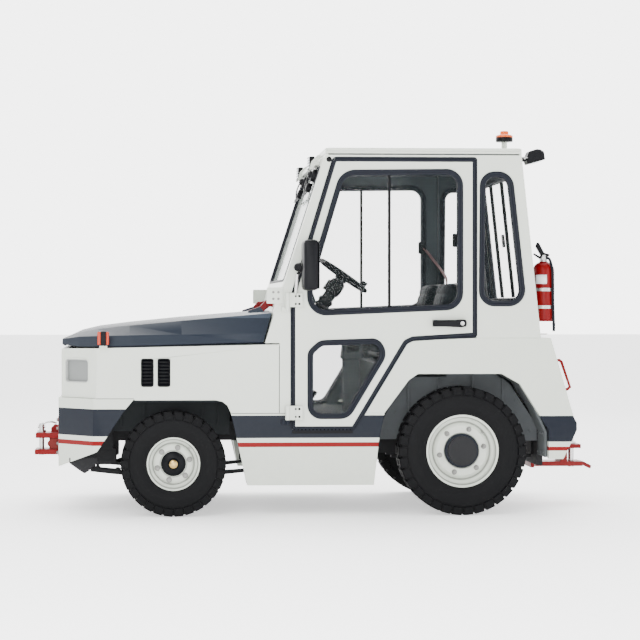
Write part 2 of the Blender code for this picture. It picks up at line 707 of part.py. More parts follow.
def make_bonnet(mats):
    """A shell lofted through half sections from the lip to the cowl, mirrored and thickened."""
    chamfer_y = BODY_HALF_WIDTH - CHAMFER_WIDTH
    lip = FRONT_FACE_X + 0.004
    rear_top = -0.262
    # x, crown z, shoulder y, shoulder z, crease y, crease z, skirt y, skirt z
    sections = [
        (lip + 0.016, 0.874, 0.44, 0.874, chamfer_y - 0.02, 0.874, chamfer_y, 0.874),
        (lip, 0.884, 0.44, 0.884, chamfer_y - 0.02, 0.884, chamfer_y, 0.884),
        (lip, 0.914, 0.44, 0.914, chamfer_y - 0.02, 0.912, chamfer_y, 0.884),
        (lip + 0.090, 0.955, 0.50, 0.943, 0.575, 0.924, 0.592, 0.873),
        (lip + 0.185, 0.977, 0.55, 0.962, 0.672, 0.928, 0.690, 0.875),
        (-1.000, 0.997, 0.58, 0.981, 0.680, 0.931, 0.696, 0.878),
        (-0.730, 1.024, 0.60, 1.006, 0.680, 0.935, 0.696, 0.886),
        (rear_top, 1.062, 0.62, 1.046, 0.680, 0.943, 0.696, 0.897),
    ]
    mesh = bpy.data.meshes.new("bonnet")
    work = bmesh.new()
    rows = []
    for x, crown, shoulder_y, shoulder_z, crease_y, crease_z, skirt_y, skirt_z in sections:
        lean = 0.0
        if x == rear_top:
            lean = 1.0
        row = []
        for y, z in ((0.0, crown), (0.30, crown - (crown - shoulder_z) * 0.3),
                     (shoulder_y, shoulder_z), (crease_y, crease_z), (skirt_y, skirt_z)):
            back = (1.062 - z) * 0.300 * lean
            row.append(work.verts.new((x - back, y, z)))
        rows.append(row)
    for first, second in zip(rows, rows[1:]):
        for index in range(len(first) - 1):
            work.faces.new((first[index], second[index], second[index + 1], first[index + 1]))
    bmesh.ops.recalc_face_normals(work, faces=work.faces)
    work.to_mesh(mesh)
    work.free()
    bonnet = named("bonnet", mesh)
    mirror = bonnet.modifiers.new("mirror", "MIRROR")
    mirror.use_axis = (False, True, False)
    mirror.use_clip = True
    mirror.merge_threshold = 0.0001
    shell = bonnet.modifiers.new("shell", "SOLIDIFY")
    shell.thickness = 0.018
    shell.offset = -1.0
    shell.use_even_offset = True
    bonnet = settle(bonnet)
    arms = []
    for _, side in SIDES:
        y = side * HINGE_ARM_Y
        arm = slab("arm", [(-0.375, 1.040), (-0.375, 1.058), (-0.312, 1.078), (-0.287, 1.106),
                           (-0.257, 1.106), (-0.253, 1.085), (-0.285, 1.060), (-0.300, 1.040)],
                   y - HINGE_ARM_HALF, y + HINGE_ARM_HALF)
        arms.append(arm)
    bonnet = coat(join(bonnet, *arms), mats["navy"])
    hang(bonnet, pivot("bonnet_turn", BONNET_PIN))
    return bonnet


# ---------------------------------------------------------------- cab

def door_opening():
    """Corners of the door opening, from the front foot round."""
    heel_slope = (0.892 - DOOR_SILL_Z) / (0.425 - DOOR_HEEL_X)
    knee_z = BELT_Z - 0.012
    return [(DOOR_FRONT_X, DOOR_SILL_Z), (DOOR_HEEL_X, DOOR_SILL_Z),
            (DOOR_HEEL_X + (knee_z - 0.015 - DOOR_SILL_Z) / heel_slope, knee_z - 0.015),
            (DOOR_KNEE_X, knee_z), (DOOR_REAR_X, BELT_Z + 0.008),
            (DOOR_REAR_X, DOOR_TOP_Z), (DOOR_FRONT_X + (DOOR_TOP_Z - 1.132) * DOOR_RAKE, DOOR_TOP_Z),
            (DOOR_FRONT_X, 1.132)]


def upper_window():
    return rounded([(-0.076, 1.040, 0.085), (0.704, 1.073, 0.080), (0.704, 1.775, 0.075),
                    (0.092, 1.768, 0.090), (-0.048, 1.300, 0.200), (-0.078, 1.160, 0.100)], 5)


def lower_window():
    return rounded([(-0.076, 0.514, 0.060), (0.120, 0.514, 0.070), (0.316, 0.840, 0.070),
                    (0.272, 0.906, 0.050), (-0.020, 0.896, 0.060), (-0.076, 0.845, 0.050)], 5)


def quarter_window():
    return rounded([(0.806, 1.090, 0.070), (1.034, 1.090, 0.075), (0.960, 1.762, 0.070),
                    (0.812, 1.762, 0.065)], 5)


def hinge_lug(side, z):
    """The body's half of a door hinge: a lug under the door's knuckle, and its ear."""
    out = BODY_HALF_WIDTH + HINGE_OUT
    top = z - 0.036 - GAP
    lug = rod("lug", (HINGE_X, side * out, top - 0.022), (HINGE_X, side * out, top),
              HINGE_RADIUS, 16)
    low, high = along_side(side, out, BODY_HALF_WIDTH - 0.010)
    ear = box("ear", (HINGE_X - 0.030, low, top - 0.022), (HINGE_X - 0.004, high, top - 0.001))
    return [lug, ear]


def make_cab_sides(mats):
    for name, side in SIDES:
        low, high = along_side(side, BODY_HALF_WIDTH, BODY_HALF_WIDTH - PANEL)
        outline = [(FIREWALL_X, SEAM_Z + GAP), (FIREWALL_X, SHELF_Z), (COWL_SHELF_X, SHELF_Z),
                   (COWL_X, COWL_Z), (windscreen_x(EAVES_Z), EAVES_Z),
                   (rear_wall_x(EAVES_Z), EAVES_Z), (REAR_WALL_X, BELT_Z + GAP),
                   (DOOR_REAR_X, BELT_Z + GAP), (DOOR_REAR_X, DOOR_TOP_Z),
                   (DOOR_FRONT_X + (DOOR_TOP_Z - 1.132) * DOOR_RAKE, DOOR_TOP_Z),
                   (DOOR_FRONT_X, 1.132), (DOOR_FRONT_X, SEAM_Z + GAP)]
        panel = slab("cab_side_" + name, outline, low, high, holes=(quarter_window(),))
        coat(join(panel, *hinge_lug(side, UPPER_HINGE_Z)), mats["cream"])
        middle = side * (BODY_HALF_WIDTH - PANEL / 2)
        pane = slab("quarter_window_" + name, grown(quarter_window(), -GAP),
                    middle - GLASS / 2, middle + GLASS / 2)
        coat(pane, mats["glass"])


def make_doors(mats):
    opening = door_opening()
    for name, side in SIDES:
        low, high = along_side(side, BODY_HALF_WIDTH, BODY_HALF_WIDTH - PANEL)
        leaf = slab("door_" + name, grown(opening, -CLEARANCE), low, high,
                    holes=(upper_window(), lower_window()))
        out = BODY_HALF_WIDTH + HINGE_OUT
        parts = []
        for z in (UPPER_HINGE_Z, LOWER_HINGE_Z):
            parts.append(rod("knuckle", (HINGE_X, side * out, z - 0.036),
                             (HINGE_X, side * out, z + 0.036), HINGE_RADIUS, 16))
            low, high = along_side(side, out + 0.004, BODY_HALF_WIDTH + 0.006)
            parts.append(box("leaf", (HINGE_X, low, z - 0.036),
                             (DOOR_FRONT_X + 0.020, high, z + 0.036)))
            low, high = along_side(side, out - 0.004, BODY_HALF_WIDTH - 0.004)
            parts.append(box("leaf", (DOOR_FRONT_X + 0.010, low, z - 0.036),
                             (HINGE_X + 0.079, high, z + 0.036)))
        low, high = along_side(side, BODY_HALF_WIDTH + 0.034, BODY_HALF_WIDTH - 0.004)
        parts.append(box("handle", (0.556, low, 0.976), (0.724, high, 1.010)))
        parts += mirror_parts(side)
        leaf = coat(join(leaf, *parts), mats["cream"])
        turn = pivot("door_" + name + "_turn", (HINGE_X, side * out, DOOR_SILL_Z))
        hang(leaf, turn)
        middle = side * (BODY_HALF_WIDTH - PANEL / 2)
        panes = (("door_window_" + name, upper_window()), ("lower_window_" + name, lower_window()))
        for pane_name, outline in panes:
            pane = slab(pane_name, grown(outline, -GAP), middle - GLASS / 2, middle + GLASS / 2)
            hang(coat(pane, mats["glass"]), turn)


def mirror_parts(side):
    """Mirror head and its arm, which stands on the upper hinge's leaf."""
    def at(x, y, z):
        return (x, side * (BODY_HALF_WIDTH + y), z)
    arm = tube("arm", [at(-0.150, 0.014, 1.130), at(-0.148, 0.022, 1.170), at(-0.140, 0.050, 1.245),
                       at(-0.120, 0.070, 1.268), at(-0.085, 0.090, 1.275)], 0.008)
    low, high = along_side(side, BODY_HALF_WIDTH + 0.215, BODY_HALF_WIDTH + 0.045)
    head = box("head", (-0.122, low, 1.160), (-0.045, high, 1.415))
    softened(head, 0.020, 2)
    return [arm, settle(head)]


def make_cab_front(mats):
    """Firewall, cowl and windscreen frame as one folded wall between the cab sides."""
    half = BODY_HALF_WIDTH - PANEL - GAP
    lean = PANEL * 1.05
    foot = RAIL_TOP_Z + GAP
    outline = [(FIREWALL_X, foot), (FIREWALL_X, SHELF_Z), (COWL_SHELF_X, SHELF_Z),
               (COWL_X, COWL_Z), (windscreen_x(EAVES_Z), EAVES_Z),
               (windscreen_x(EAVES_Z) + lean, EAVES_Z), (COWL_X + lean, COWL_Z),
               (COWL_SHELF_X + lean + 0.016, SHELF_Z + PANEL), (FIREWALL_X + PANEL, SHELF_Z + PANEL),
               (FIREWALL_X + PANEL, foot)]
    wall = slab("cab_front", outline, -half, half)
    low_z, high_z = COWL_Z + 0.030, EAVES_Z - 0.060
    wide = half - 0.050
    opening = rounded([(-wide, low_z, 0.040), (wide, low_z, 0.040), (wide, high_z, 0.040),
                       (-wide, high_z, 0.040)])
    cutter = slab("opening", opening, -0.100, 0.200, "X")
    shear = Matrix.Identity(4)
    shear[0][2] = WINDSCREEN_RAKE
    shear[0][3] = COWL_X - COWL_Z * WINDSCREEN_RAKE
    cutter.data.transform(shear)
    wall = cut(wall, cutter)
    ears = []
    for _, side in SIDES:
        for start in (HINGE_ARM_HALF + GAP, -HINGE_ARM_HALF - GAP - 0.010):
            y = side * HINGE_ARM_Y + start
            ears.append(slab("ear", [(-0.280, 1.082), (-0.280, 1.102), (-0.225, 1.118),
                                     (-0.235, 1.076)], y, y + 0.010))
    wall = join(wall, *ears)
    coat(wall, mats["cream"])
    pane = slab("windscreen", grown(opening, -GAP), PANEL / 2 - GLASS / 2, PANEL / 2 + GLASS / 2, "X")
    pane.data.transform(shear)
    coat(pane, mats["glass"])


def make_cab_rear(mats):
    half = BODY_HALF_WIDTH - PANEL - GAP
    outline = [(-half, BELT_Z + GAP), (half, BELT_Z + GAP), (half, EAVES_Z), (-half, EAVES_Z)]
    opening = rounded([(-0.500, 1.110, 0.050), (0.500, 1.110, 0.050), (0.500, 1.770, 0.050),
                       (-0.500, 1.770, 0.050)])
    shear = Matrix.Identity(4)
    shear[0][2] = REAR_RAKE
    shear[0][3] = REAR_WALL_X - BELT_Z * REAR_RAKE
    wall = slab("cab_rear", outline, -PANEL, 0.0, "X", holes=(opening,))
    wall.data.transform(shear)
    coat(wall, mats["cream"])
    pane = slab("rear_window", grown(opening, -GAP), -PANEL / 2 - GLASS / 2, -PANEL / 2 + GLASS / 2,
                "X")
    pane.data.transform(shear)
    coat(pane, mats["glass"])


def make_roof(mats):
    front = windscreen_x(EAVES_Z)
    rear = rear_wall_x(EAVES_Z) + 0.008
    half = BODY_HALF_WIDTH
    base = EAVES_Z + GAP
    plan = rounded([(front, -half, 0.030), (rear, -half, 0.040), (rear, half, 0.040),
                    (front, half, 0.030)])
    roof = slab("roof", plan, base, base + ROOF_THICKNESS, "Z")
    softened(roof, 0.012, 2, 60)
    return coat(settle(roof), mats["cream"])


def make_floor(mats):
    half = BODY_HALF_WIDTH - PANEL - GAP
    low = RAIL_TOP_Z + GAP
    front = FIREWALL_X + PANEL + GAP
    floor = box("cab_floor", (front, -half, low), (RISER_X + 0.025, half, low + FLOOR_THICKNESS))
    coat(floor, mats["trim"])
    base = low + FLOOR_THICKNESS + GAP
    outline = [(RISER_X, base), (RISER_X, DECK_TOP_Z), (TAIL_X - 0.020, DECK_TOP_Z),
               (TAIL_X - 0.020, DECK_TOP_Z - 0.030), (RISER_X + 0.025, DECK_TOP_Z - 0.030),
               (RISER_X + 0.025, base)]
    coat(slab("seat_base", outline, -half, half), mats["trim"])


def make_seats(mats):
    for name, side in SIDES:
        base = DECK_TOP_Z + GAP
        outline = rounded([(0.272, base), (0.272, base + 0.130, 0.040), (0.580, base + 0.120),
                           (0.640, base + 0.440, 0.050), (0.755, base + 0.440, 0.050),
                           (0.720, base)])
        low = side * SEAT_Y - SEAT_WIDTH / 2
        seat = slab("seat_" + name, outline, low, low + SEAT_WIDTH)
        coat(seat, mats["vinyl"])


def make_dashboard(mats):
    half = BODY_HALF_WIDTH - PANEL - 0.015
    back = FIREWALL_X + PANEL + GAP
    outline = [(back, 0.9323), (COWL_X + PANEL + 0.003, COWL_Z), (-0.060, 1.165), (-0.040, 1.110),
               (-0.075, 0.980), (back + 0.030, 0.9323)]
    panel = slab("dashboard", outline, -half, half)
    axis = Vector((math.sin(COLUMN_TILT), 0.0, math.cos(COLUMN_TILT)))
    top = STEERING_WHEEL_CENTRE - axis * (0.030 + GAP)
    column = rod("column", top - axis * 0.300, top, 0.028, 20)
    panel = join(panel, column)
    coat(panel, mats["trim"])


def make_steering_wheel(mats):
    segments = 32
    ring_points = []
    for index in range(segments):
        angle = 2 * math.pi * index / segments
        ring_points.append((STEERING_WHEEL_RADIUS * math.cos(angle),
                            STEERING_WHEEL_RADIUS * math.sin(angle), 0.0))
    ring = tube("steering_wheel", ring_points, 0.011, cyclic=True)
    parts = [rod("hub", (0, 0, -0.030), (0, 0, 0.006), 0.034, 24)]
    for angle in (90, 210, 330):
        angle = math.radians(angle)
        end = (STEERING_WHEEL_RADIUS * math.cos(angle), STEERING_WHEEL_RADIUS * math.sin(angle), 0.0)
        parts.append(rod("spoke", (0, 0, -0.010), end, 0.007, 10))
    knob = math.radians(30)
    spot = (STEERING_WHEEL_RADIUS * math.cos(knob), STEERING_WHEEL_RADIUS * math.sin(knob))
    parts.append(rod("knob", (*spot, 0.0), (*spot, 0.045), 0.009, 12, 0.016))
    wheel = join(ring, *parts)
    wheel.data.transform(Matrix.Rotation(COLUMN_TILT, 4, "Y"))
    wheel.data.transform(Matrix.Translation(STEERING_WHEEL_CENTRE))
    hang(coat(wheel, mats["black"]), pivot("steering_wheel_turn", STEERING_WHEEL_CENTRE))


# ---------------------------------------------------------------- lower body

def make_side_boxes(mats):
    """Boxes between the wheels under the doors, with the step on top."""
    inner = BODY_HALF_WIDTH - 0.200
    for name, side in SIDES:
        outline = [(FRONT_AXLE_X + 0.293, SEAM_Z), (FRONT_AXLE_X + 0.377, SKIRT_Z),
                   (REAR_AXLE_X - 0.466, SKIRT_Z), (REAR_AXLE_X - 0.440, 0.395),
                   (REAR_AXLE_X - 0.412, SEAM_Z), (DOOR_HEEL_X + 0.050, SEAM_Z),
                   (DOOR_HEEL_X - 0.004, DOOR_SILL_Z), (DOOR_FRONT_X, DOOR_SILL_Z),
                   (DOOR_FRONT_X, SEAM_Z)]
        low, high = along_side(side, BODY_HALF_WIDTH, BODY_HALF_WIDTH - PANEL)
        face = slab("side_box_" + name, outline, low, high)
        body = [(FRONT_AXLE_X + 0.330, 0.440), (FRONT_AXLE_X + 0.377, SKIRT_Z),
                (REAR_AXLE_X - 0.466, SKIRT_Z), (REAR_AXLE_X - 0.440, 0.395),
                (REAR_AXLE_X - 0.440, 0.440)]
        low, high = along_side(side, BODY_HALF_WIDTH - PANEL + 0.002, inner)
        block = slab("body", body, low, high)
        coat(join(face, block, *hinge_lug(side, LOWER_HINGE_Z)), mats["cream"])


def arch_line(grow=0.0):
    """Inside of the rear wheel arch, from its front foot to its rear foot."""
    x = REAR_AXLE_X
    line = [(x - 0.412 - grow, SEAM_Z), (x - 0.286 - grow, 0.702 + grow * 0.6),
            (x - 0.239 - grow * 0.4, 0.733 + grow), (x + 0.195 + grow * 0.4, 0.733 + grow),
            (x + 0.288 + grow * 0.9, 0.680 + grow * 0.8), (x + 0.438 + grow, 0.443),
            (x + 0.438 + grow, 0.294)]
    return line


def make_rear_fenders(mats):
    for name, side in SIDES:
        line = arch_line()
        line[0] = (line[0][0], SEAM_Z + GAP)
        heel_slope = (0.892 - DOOR_SILL_Z) / (0.425 - DOOR_HEEL_X)
        knee_z = BELT_Z - 0.012
        outline = [(DOOR_HEEL_X + (SEAM_Z - DOOR_SILL_Z) / heel_slope, SEAM_Z + GAP),
                   (DOOR_HEEL_X + (knee_z - 0.015 - DOOR_SILL_Z) / heel_slope, knee_z - 0.015),
                   (DOOR_KNEE_X, knee_z), (DOOR_REAR_X, BELT_Z), (tail_x(BELT_Z), BELT_Z),
                   (tail_x(0.510), 0.510), (1.305, 0.479), (1.305, 0.443), (1.274, 0.376),
                   (1.235, 0.294)] + line[::-1]
        low, high = along_side(side, BODY_HALF_WIDTH, BODY_HALF_WIDTH - PANEL)
        plate = slab("rear_fender_" + name, outline, low, high)
        outer = arch_line(0.016)
        inner = arch_line(0.002)
        outer[-1] = (outer[-1][0], 0.300)
        inner[-1] = (inner[-1][0], 0.300)
        outer[0] = (outer[0][0] - 0.004, SEAM_Z + 0.004)
        inner[0] = (inner[0][0], SEAM_Z + 0.004)
        low, high = along_side(side, BODY_HALF_WIDTH - PANEL + 0.004, BODY_HALF_WIDTH - LINER_DEPTH)
        liner = slab("liner", outer + inner[::-1], low, high)
        coat(join(plate, liner), mats["cream"])


def make_rear_panel(mats):
    half = BODY_HALF_WIDTH - PANEL - GAP
    wall = 0.030
    outer = [(1.235, 0.294), (1.274, 0.376), (1.305, 0.443), (1.305, 0.479), (tail_x(0.510), 0.510),
             (TAIL_X, BELT_Z)]
    inner = [(REAR_WALL_X - 0.070, BELT_Z), (REAR_WALL_X - 0.070, BELT_Z - wall),
             (TAIL_X - 0.022, BELT_Z - wall), (tail_x(0.510) - wall, 0.500),
             (1.305 - wall, 0.474), (1.305 - wall, 0.449), (1.245, 0.386), (1.205, 0.294)]
    panel = slab("rear_panel", outer + inner, -half, half)
    handles = []
    for _, side in SIDES:
        y = side * 0.450
        # handle: z at the top and the bottom of the grip
        top, bottom = 0.790, 0.650
        reach = 0.070
        points = [(tail_x(top) - 0.010, y, top), (tail_x(top) + reach - 0.012, y, top + 0.006),
                  (tail_x(top) + reach, y, top - 0.004),
                  (tail_x(bottom) + reach + 0.004, y, bottom + 0.004),
                  (tail_x(bottom) + reach - 0.010, y, bottom - 0.008),
                  (tail_x(bottom) - 0.010, y, bottom - 0.020)]
        handles.append(tube("handle", points, 0.008))
    return coat(join(panel, *handles), mats["cream"])


# ---------------------------------------------------------------- couplers

def make_front_coupler(mats):
    front = FRONT_FACE_X - 0.015 - GAP
    half = 0.075
    back = box("front_coupler", (front - 0.022, -0.100, 0.270), (front, 0.100, 0.490))
    lower = box("lower", (FRONT_FACE_X - 0.165, -half, 0.279), (front - 0.010, half, 0.307))
    upper = box("upper", (FRONT_FACE_X - 0.160, -half, 0.368), (front - 0.010, half, 0.396))
    web = box("web", (FRONT_FACE_X - 0.090, -0.012, 0.300), (front - 0.010, 0.012, 0.374))
    lug = slab("lug", [(FRONT_FACE_X - 0.080, 0.390), (FRONT_FACE_X - 0.080, 0.420),
                       (FRONT_FACE_X - 0.060, 0.440), (front - 0.010, 0.430),
                       (front - 0.010, 0.390)], -0.020, 0.020)
    hole = rod("hole", (FRONT_PIN_X, 0, 0.200), (FRONT_PIN_X, 0, 0.460), 0.0145 + GAP, 24)
    coupler = cut(join(back, lower, upper, web, lug), hole)
    coat(coupler, mats["red"])
    shank = rod("front_coupler_pin", (FRONT_PIN_X, 0, 0.272), (FRONT_PIN_X, 0, 0.440), 0.0145, 24)
    collar = rod("collar", (FRONT_PIN_X, 0, 0.396 + GAP), (FRONT_PIN_X, 0, 0.408), 0.024, 20)
    knob = rod("knob", (FRONT_PIN_X - 0.020, 0, 0.425), (FRONT_PIN_X + 0.020, 0, 0.425), 0.008, 12)
    pin = coat(join(shank, collar, knob), mats["steel"])
    hang(pin, pivot("front_pin_slide", (FRONT_PIN_X, 0, 0.396)))


def make_rear_coupler(mats):
    start = TAIL_X + 0.010 + GAP
    half = 0.070
    back = box("rear_coupler", (start, -0.110, 0.200), (start + 0.020, 0.110, 0.286))
    lower = box("lower", (start + 0.010, -half, 0.204), (1.476, half, 0.230))
    web = box("web", (1.352, -half, 0.220), (1.390, half, 0.314))
    upper = box("upper", (1.360, -half, 0.302), (1.466, half, 0.324))
    pedal = slab("pedal", [(1.470, 0.206), (1.470, 0.228), (1.485, 0.228), (1.532, 0.204),
                           (1.526, 0.186), (1.485, 0.206)], -0.035, 0.035)
    hole = rod("hole", (REAR_PIN_X, 0, 0.100), (REAR_PIN_X, 0, 0.400), 0.016 + GAP, 24)
    coupler = cut(join(back, lower, web, upper, pedal), hole)
    coat(coupler, mats["red"])
    shank = rod("rear_coupler_pin", (REAR_PIN_X, 0, 0.196), (REAR_PIN_X, 0, 0.366), 0.016, 24)
    collar = rod("collar", (REAR_PIN_X, 0, 0.324 + GAP), (REAR_PIN_X, 0, 0.336), 0.026, 20)
    pin = coat(join(shank, collar), mats["steel"])
    hang(pin, pivot("rear_pin_slide", (REAR_PIN_X, 0, 0.324)))


# ---------------------------------------------------------------- fittings

def make_fittings(mats):
    # extinguisher upright behind the rear wall, with its bracket, valve and clipped hose
    x, y, foot = 1.192, -0.400, 1.000
    radius = 0.057
    profile = [(0.0, 0.330), (0.022, 0.330), (0.022, 0.318), (0.046, 0.306), (radius, 0.280),
               (radius, 0.010), (radius - 0.010, 0.0), (0.0, 0.0)]
    bottle = turned("extinguisher", profile, (0, 0, 0), "Z", 24)
    lever = slab("lever", [(-0.020, 0.320), (-0.020, 0.350), (-0.040, 0.415), (-0.026, 0.420),
                           (0.005, 0.362), (0.030, 0.350), (0.030, 0.320)], -0.011, 0.011)
    hose = tube("hose", [(0.004, -0.006, 0.328), (0.026, -0.040, 0.322), (0.036, -0.055, 0.270),
                         (0.039, -0.055, 0.150), (0.042, -0.052, 0.020), (0.044, -0.050, -0.052)],
                0.0075)
    bottle = join(bottle, lever, hose)
    bottle.data.transform(Matrix.Translation((x, y, foot)))
    low_z, high_z = foot + 0.040, foot + 0.260
    bracket = slab("bracket", [(rear_wall_x(low_z) + 0.001, low_z), (x - radius + 0.006, low_z),
                               (x - radius + 0.006, high_z), (rear_wall_x(high_z) + 0.001, high_z)],
                   y - 0.030, y + 0.030)
    coat(join(bottle, bracket), mats["red"])

    # beacon on its stand
    roof_top = EAVES_Z + GAP + ROOF_THICKNESS
    x = 1.000
    stand = rod("beacon", (x, -0.300, roof_top + GAP), (x, -0.300, 1.965), 0.022, 16)
    lens = turned("lens", [(0.0, 2.018), (0.021, 2.018), (0.024, 1.998), (0.043, 1.995),
                           (0.046, 1.982), (0.044, 1.957), (0.0, 1.957)], (x, -0.300, 0), "Z", 24)
    coat(join(stand, lens), mats["amber"])

    # work lamp behind the roof on an arm from the rear wall
    wall = rear_wall_x(1.835) + GAP
    arm = box("rear_work_light", (wall, -0.565, 1.835), (1.080, -0.535, 1.858))
    lamp = slab("lamp", [(1.060, 1.843), (1.072, 1.818), (1.162, 1.843), (1.156, 1.884),
                         (1.138, 1.896), (1.119, 1.899), (1.078, 1.887)], -0.600, -0.500)
    coat(join(arm, lamp), mats["black"])

    # two lamps on a bar in front of the roof
    bar_z = EAVES_Z - 0.036
    skin = windscreen_x(bar_z - 0.012) - GAP
    bar = box("work_light_bar", (skin - 0.030, -0.520, bar_z - 0.012),
              (skin, 0.520, bar_z + 0.012))
    lamps = []
    for _, side in SIDES:
        lamps.append(box("lamp", (skin - 0.056, side * 0.400 - 0.045, bar_z - 0.033),
                         (skin - 0.014, side * 0.400 + 0.045, bar_z + 0.042)))
    coat(join(bar, *lamps), mats["cream"])


def main():
    empty_the_scene()
    mats = make_finishes()
    make_chassis(mats)
    make_front_axle(mats)
    make_rear_axle(mats)
    make_engine(mats)
    make_wheels(mats)
    make_bumper(mats)
    make_wings(mats)
    make_headlights(mats)
    make_grille(mats)
    make_bonnet(mats)
    make_cab_sides(mats)
    make_doors(mats)
    make_cab_front(mats)
    make_cab_rear(mats)
    make_roof(mats)
    make_floor(mats)
    make_seats(mats)
    make_dashboard(mats)
    make_steering_wheel(mats)
    make_side_boxes(mats)
    make_rear_fenders(mats)
    make_rear_panel(mats)
    make_front_coupler(mats)
    make_rear_coupler(mats)
    make_fittings(mats)


main()
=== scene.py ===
"""Looks of the airport baggage tug: finishes, seals, treads, lamps and small fittings."""
import math

import bmesh
import bpy
from mathutils import Matrix, Vector


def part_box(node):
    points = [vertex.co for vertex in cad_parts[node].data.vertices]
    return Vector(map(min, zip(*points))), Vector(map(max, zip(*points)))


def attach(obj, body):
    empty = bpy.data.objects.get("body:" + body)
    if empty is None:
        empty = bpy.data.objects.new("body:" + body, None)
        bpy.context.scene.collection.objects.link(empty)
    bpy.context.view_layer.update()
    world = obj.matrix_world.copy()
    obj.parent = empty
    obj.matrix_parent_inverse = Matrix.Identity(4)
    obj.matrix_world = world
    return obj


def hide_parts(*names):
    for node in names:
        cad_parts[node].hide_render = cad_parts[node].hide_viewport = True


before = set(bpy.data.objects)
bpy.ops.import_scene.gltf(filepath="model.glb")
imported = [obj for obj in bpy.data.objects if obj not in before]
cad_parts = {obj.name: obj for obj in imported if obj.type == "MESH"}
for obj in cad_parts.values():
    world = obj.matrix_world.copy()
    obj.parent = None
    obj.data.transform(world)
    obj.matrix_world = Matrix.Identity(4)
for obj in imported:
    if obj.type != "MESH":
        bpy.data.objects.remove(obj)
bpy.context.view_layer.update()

# ---------------------------------------------------------------- sizes, read from the frame

SIDES = (("left", -1), ("right", 1))
BODY = 0.700                                        # outer face of doors, wings and fenders
PANEL = 0.040
BELT_Z = 0.917                                      # top of the rear fenders
SCREEN_FOOT = (-0.212, 1.184)                       # X and Z of the foot of the windscreen
SCREEN_RAKE = 0.3225                                # back per unit up
REAR_WALL_X = 1.118                                 # rear wall at the belt
REAR_RAKE = -0.107
TAIL_X = 1.170                                      # rear panel at the belt
TAIL_RAKE = -0.2924
HINGE_HEIGHTS = (1.112, 0.536)
HINGE_ARM_Y = 0.350
FRONT_AXLE = (-0.771, 0.271)                        # X and Z
REAR_AXLE = (0.721, 0.332)
FRONT_PIN_X = -1.482
REAR_PIN_X = 1.425
DRAG_LINK_Y = 0.318
BEACON = (1.000, -0.300, 1.8926)                    # foot of its stand
EXTINGUISHER = (1.192, -0.400, 1.000)               # centre of its foot
GRAB_HANDLE_Y = 0.450
GRAB_HANDLE_FEET = (0.790, 0.630)
SEAT_Y = 0.330


# ---------------------------------------------------------------- shader tools

class Wire:
    """A node socket that adds Math nodes when it is used in an expression."""

    def __init__(self, shader, socket):
        self.shader = shader
        self.socket = socket

    def math(self, operation, *values):
        return self.shader.node("ShaderNodeMath", {"operation": operation}, *values)

    def __add__(self, other):
        return self.math("ADD", self, other)

    def __radd__(self, other):
        return self.math("ADD", other, self)

    def __sub__(self, other):
        return self.math("SUBTRACT", self, other)

    def __rsub__(self, other):
        return self.math("SUBTRACT", other, self)

    def __mul__(self, other):
        return self.math("MULTIPLY", self, other)

    def __rmul__(self, other):
        return self.math("MULTIPLY", other, self)

    def __truediv__(self, other):
        return self.math("DIVIDE", self, other)

    def above(self, edge):
        return self.math("GREATER_THAN", self, edge)

    def below(self, edge):
        return self.math("LESS_THAN", self, edge)

    def largest(self, other):
        return self.math("MAXIMUM", self, other)

    def size(self):
        return self.math("ABSOLUTE", self)

    def clamp(self):
        clamped = self.math("MULTIPLY", self, 1.0)
        clamped.socket.node.use_clamp = True
        return clamped

    def between(self, low, high):
        return self.above(low) * self.below(high)

    def ramp_up(self, low, high):
        """0 below low, 1 above high."""
        return ((self - low) / (high - low)).clamp()


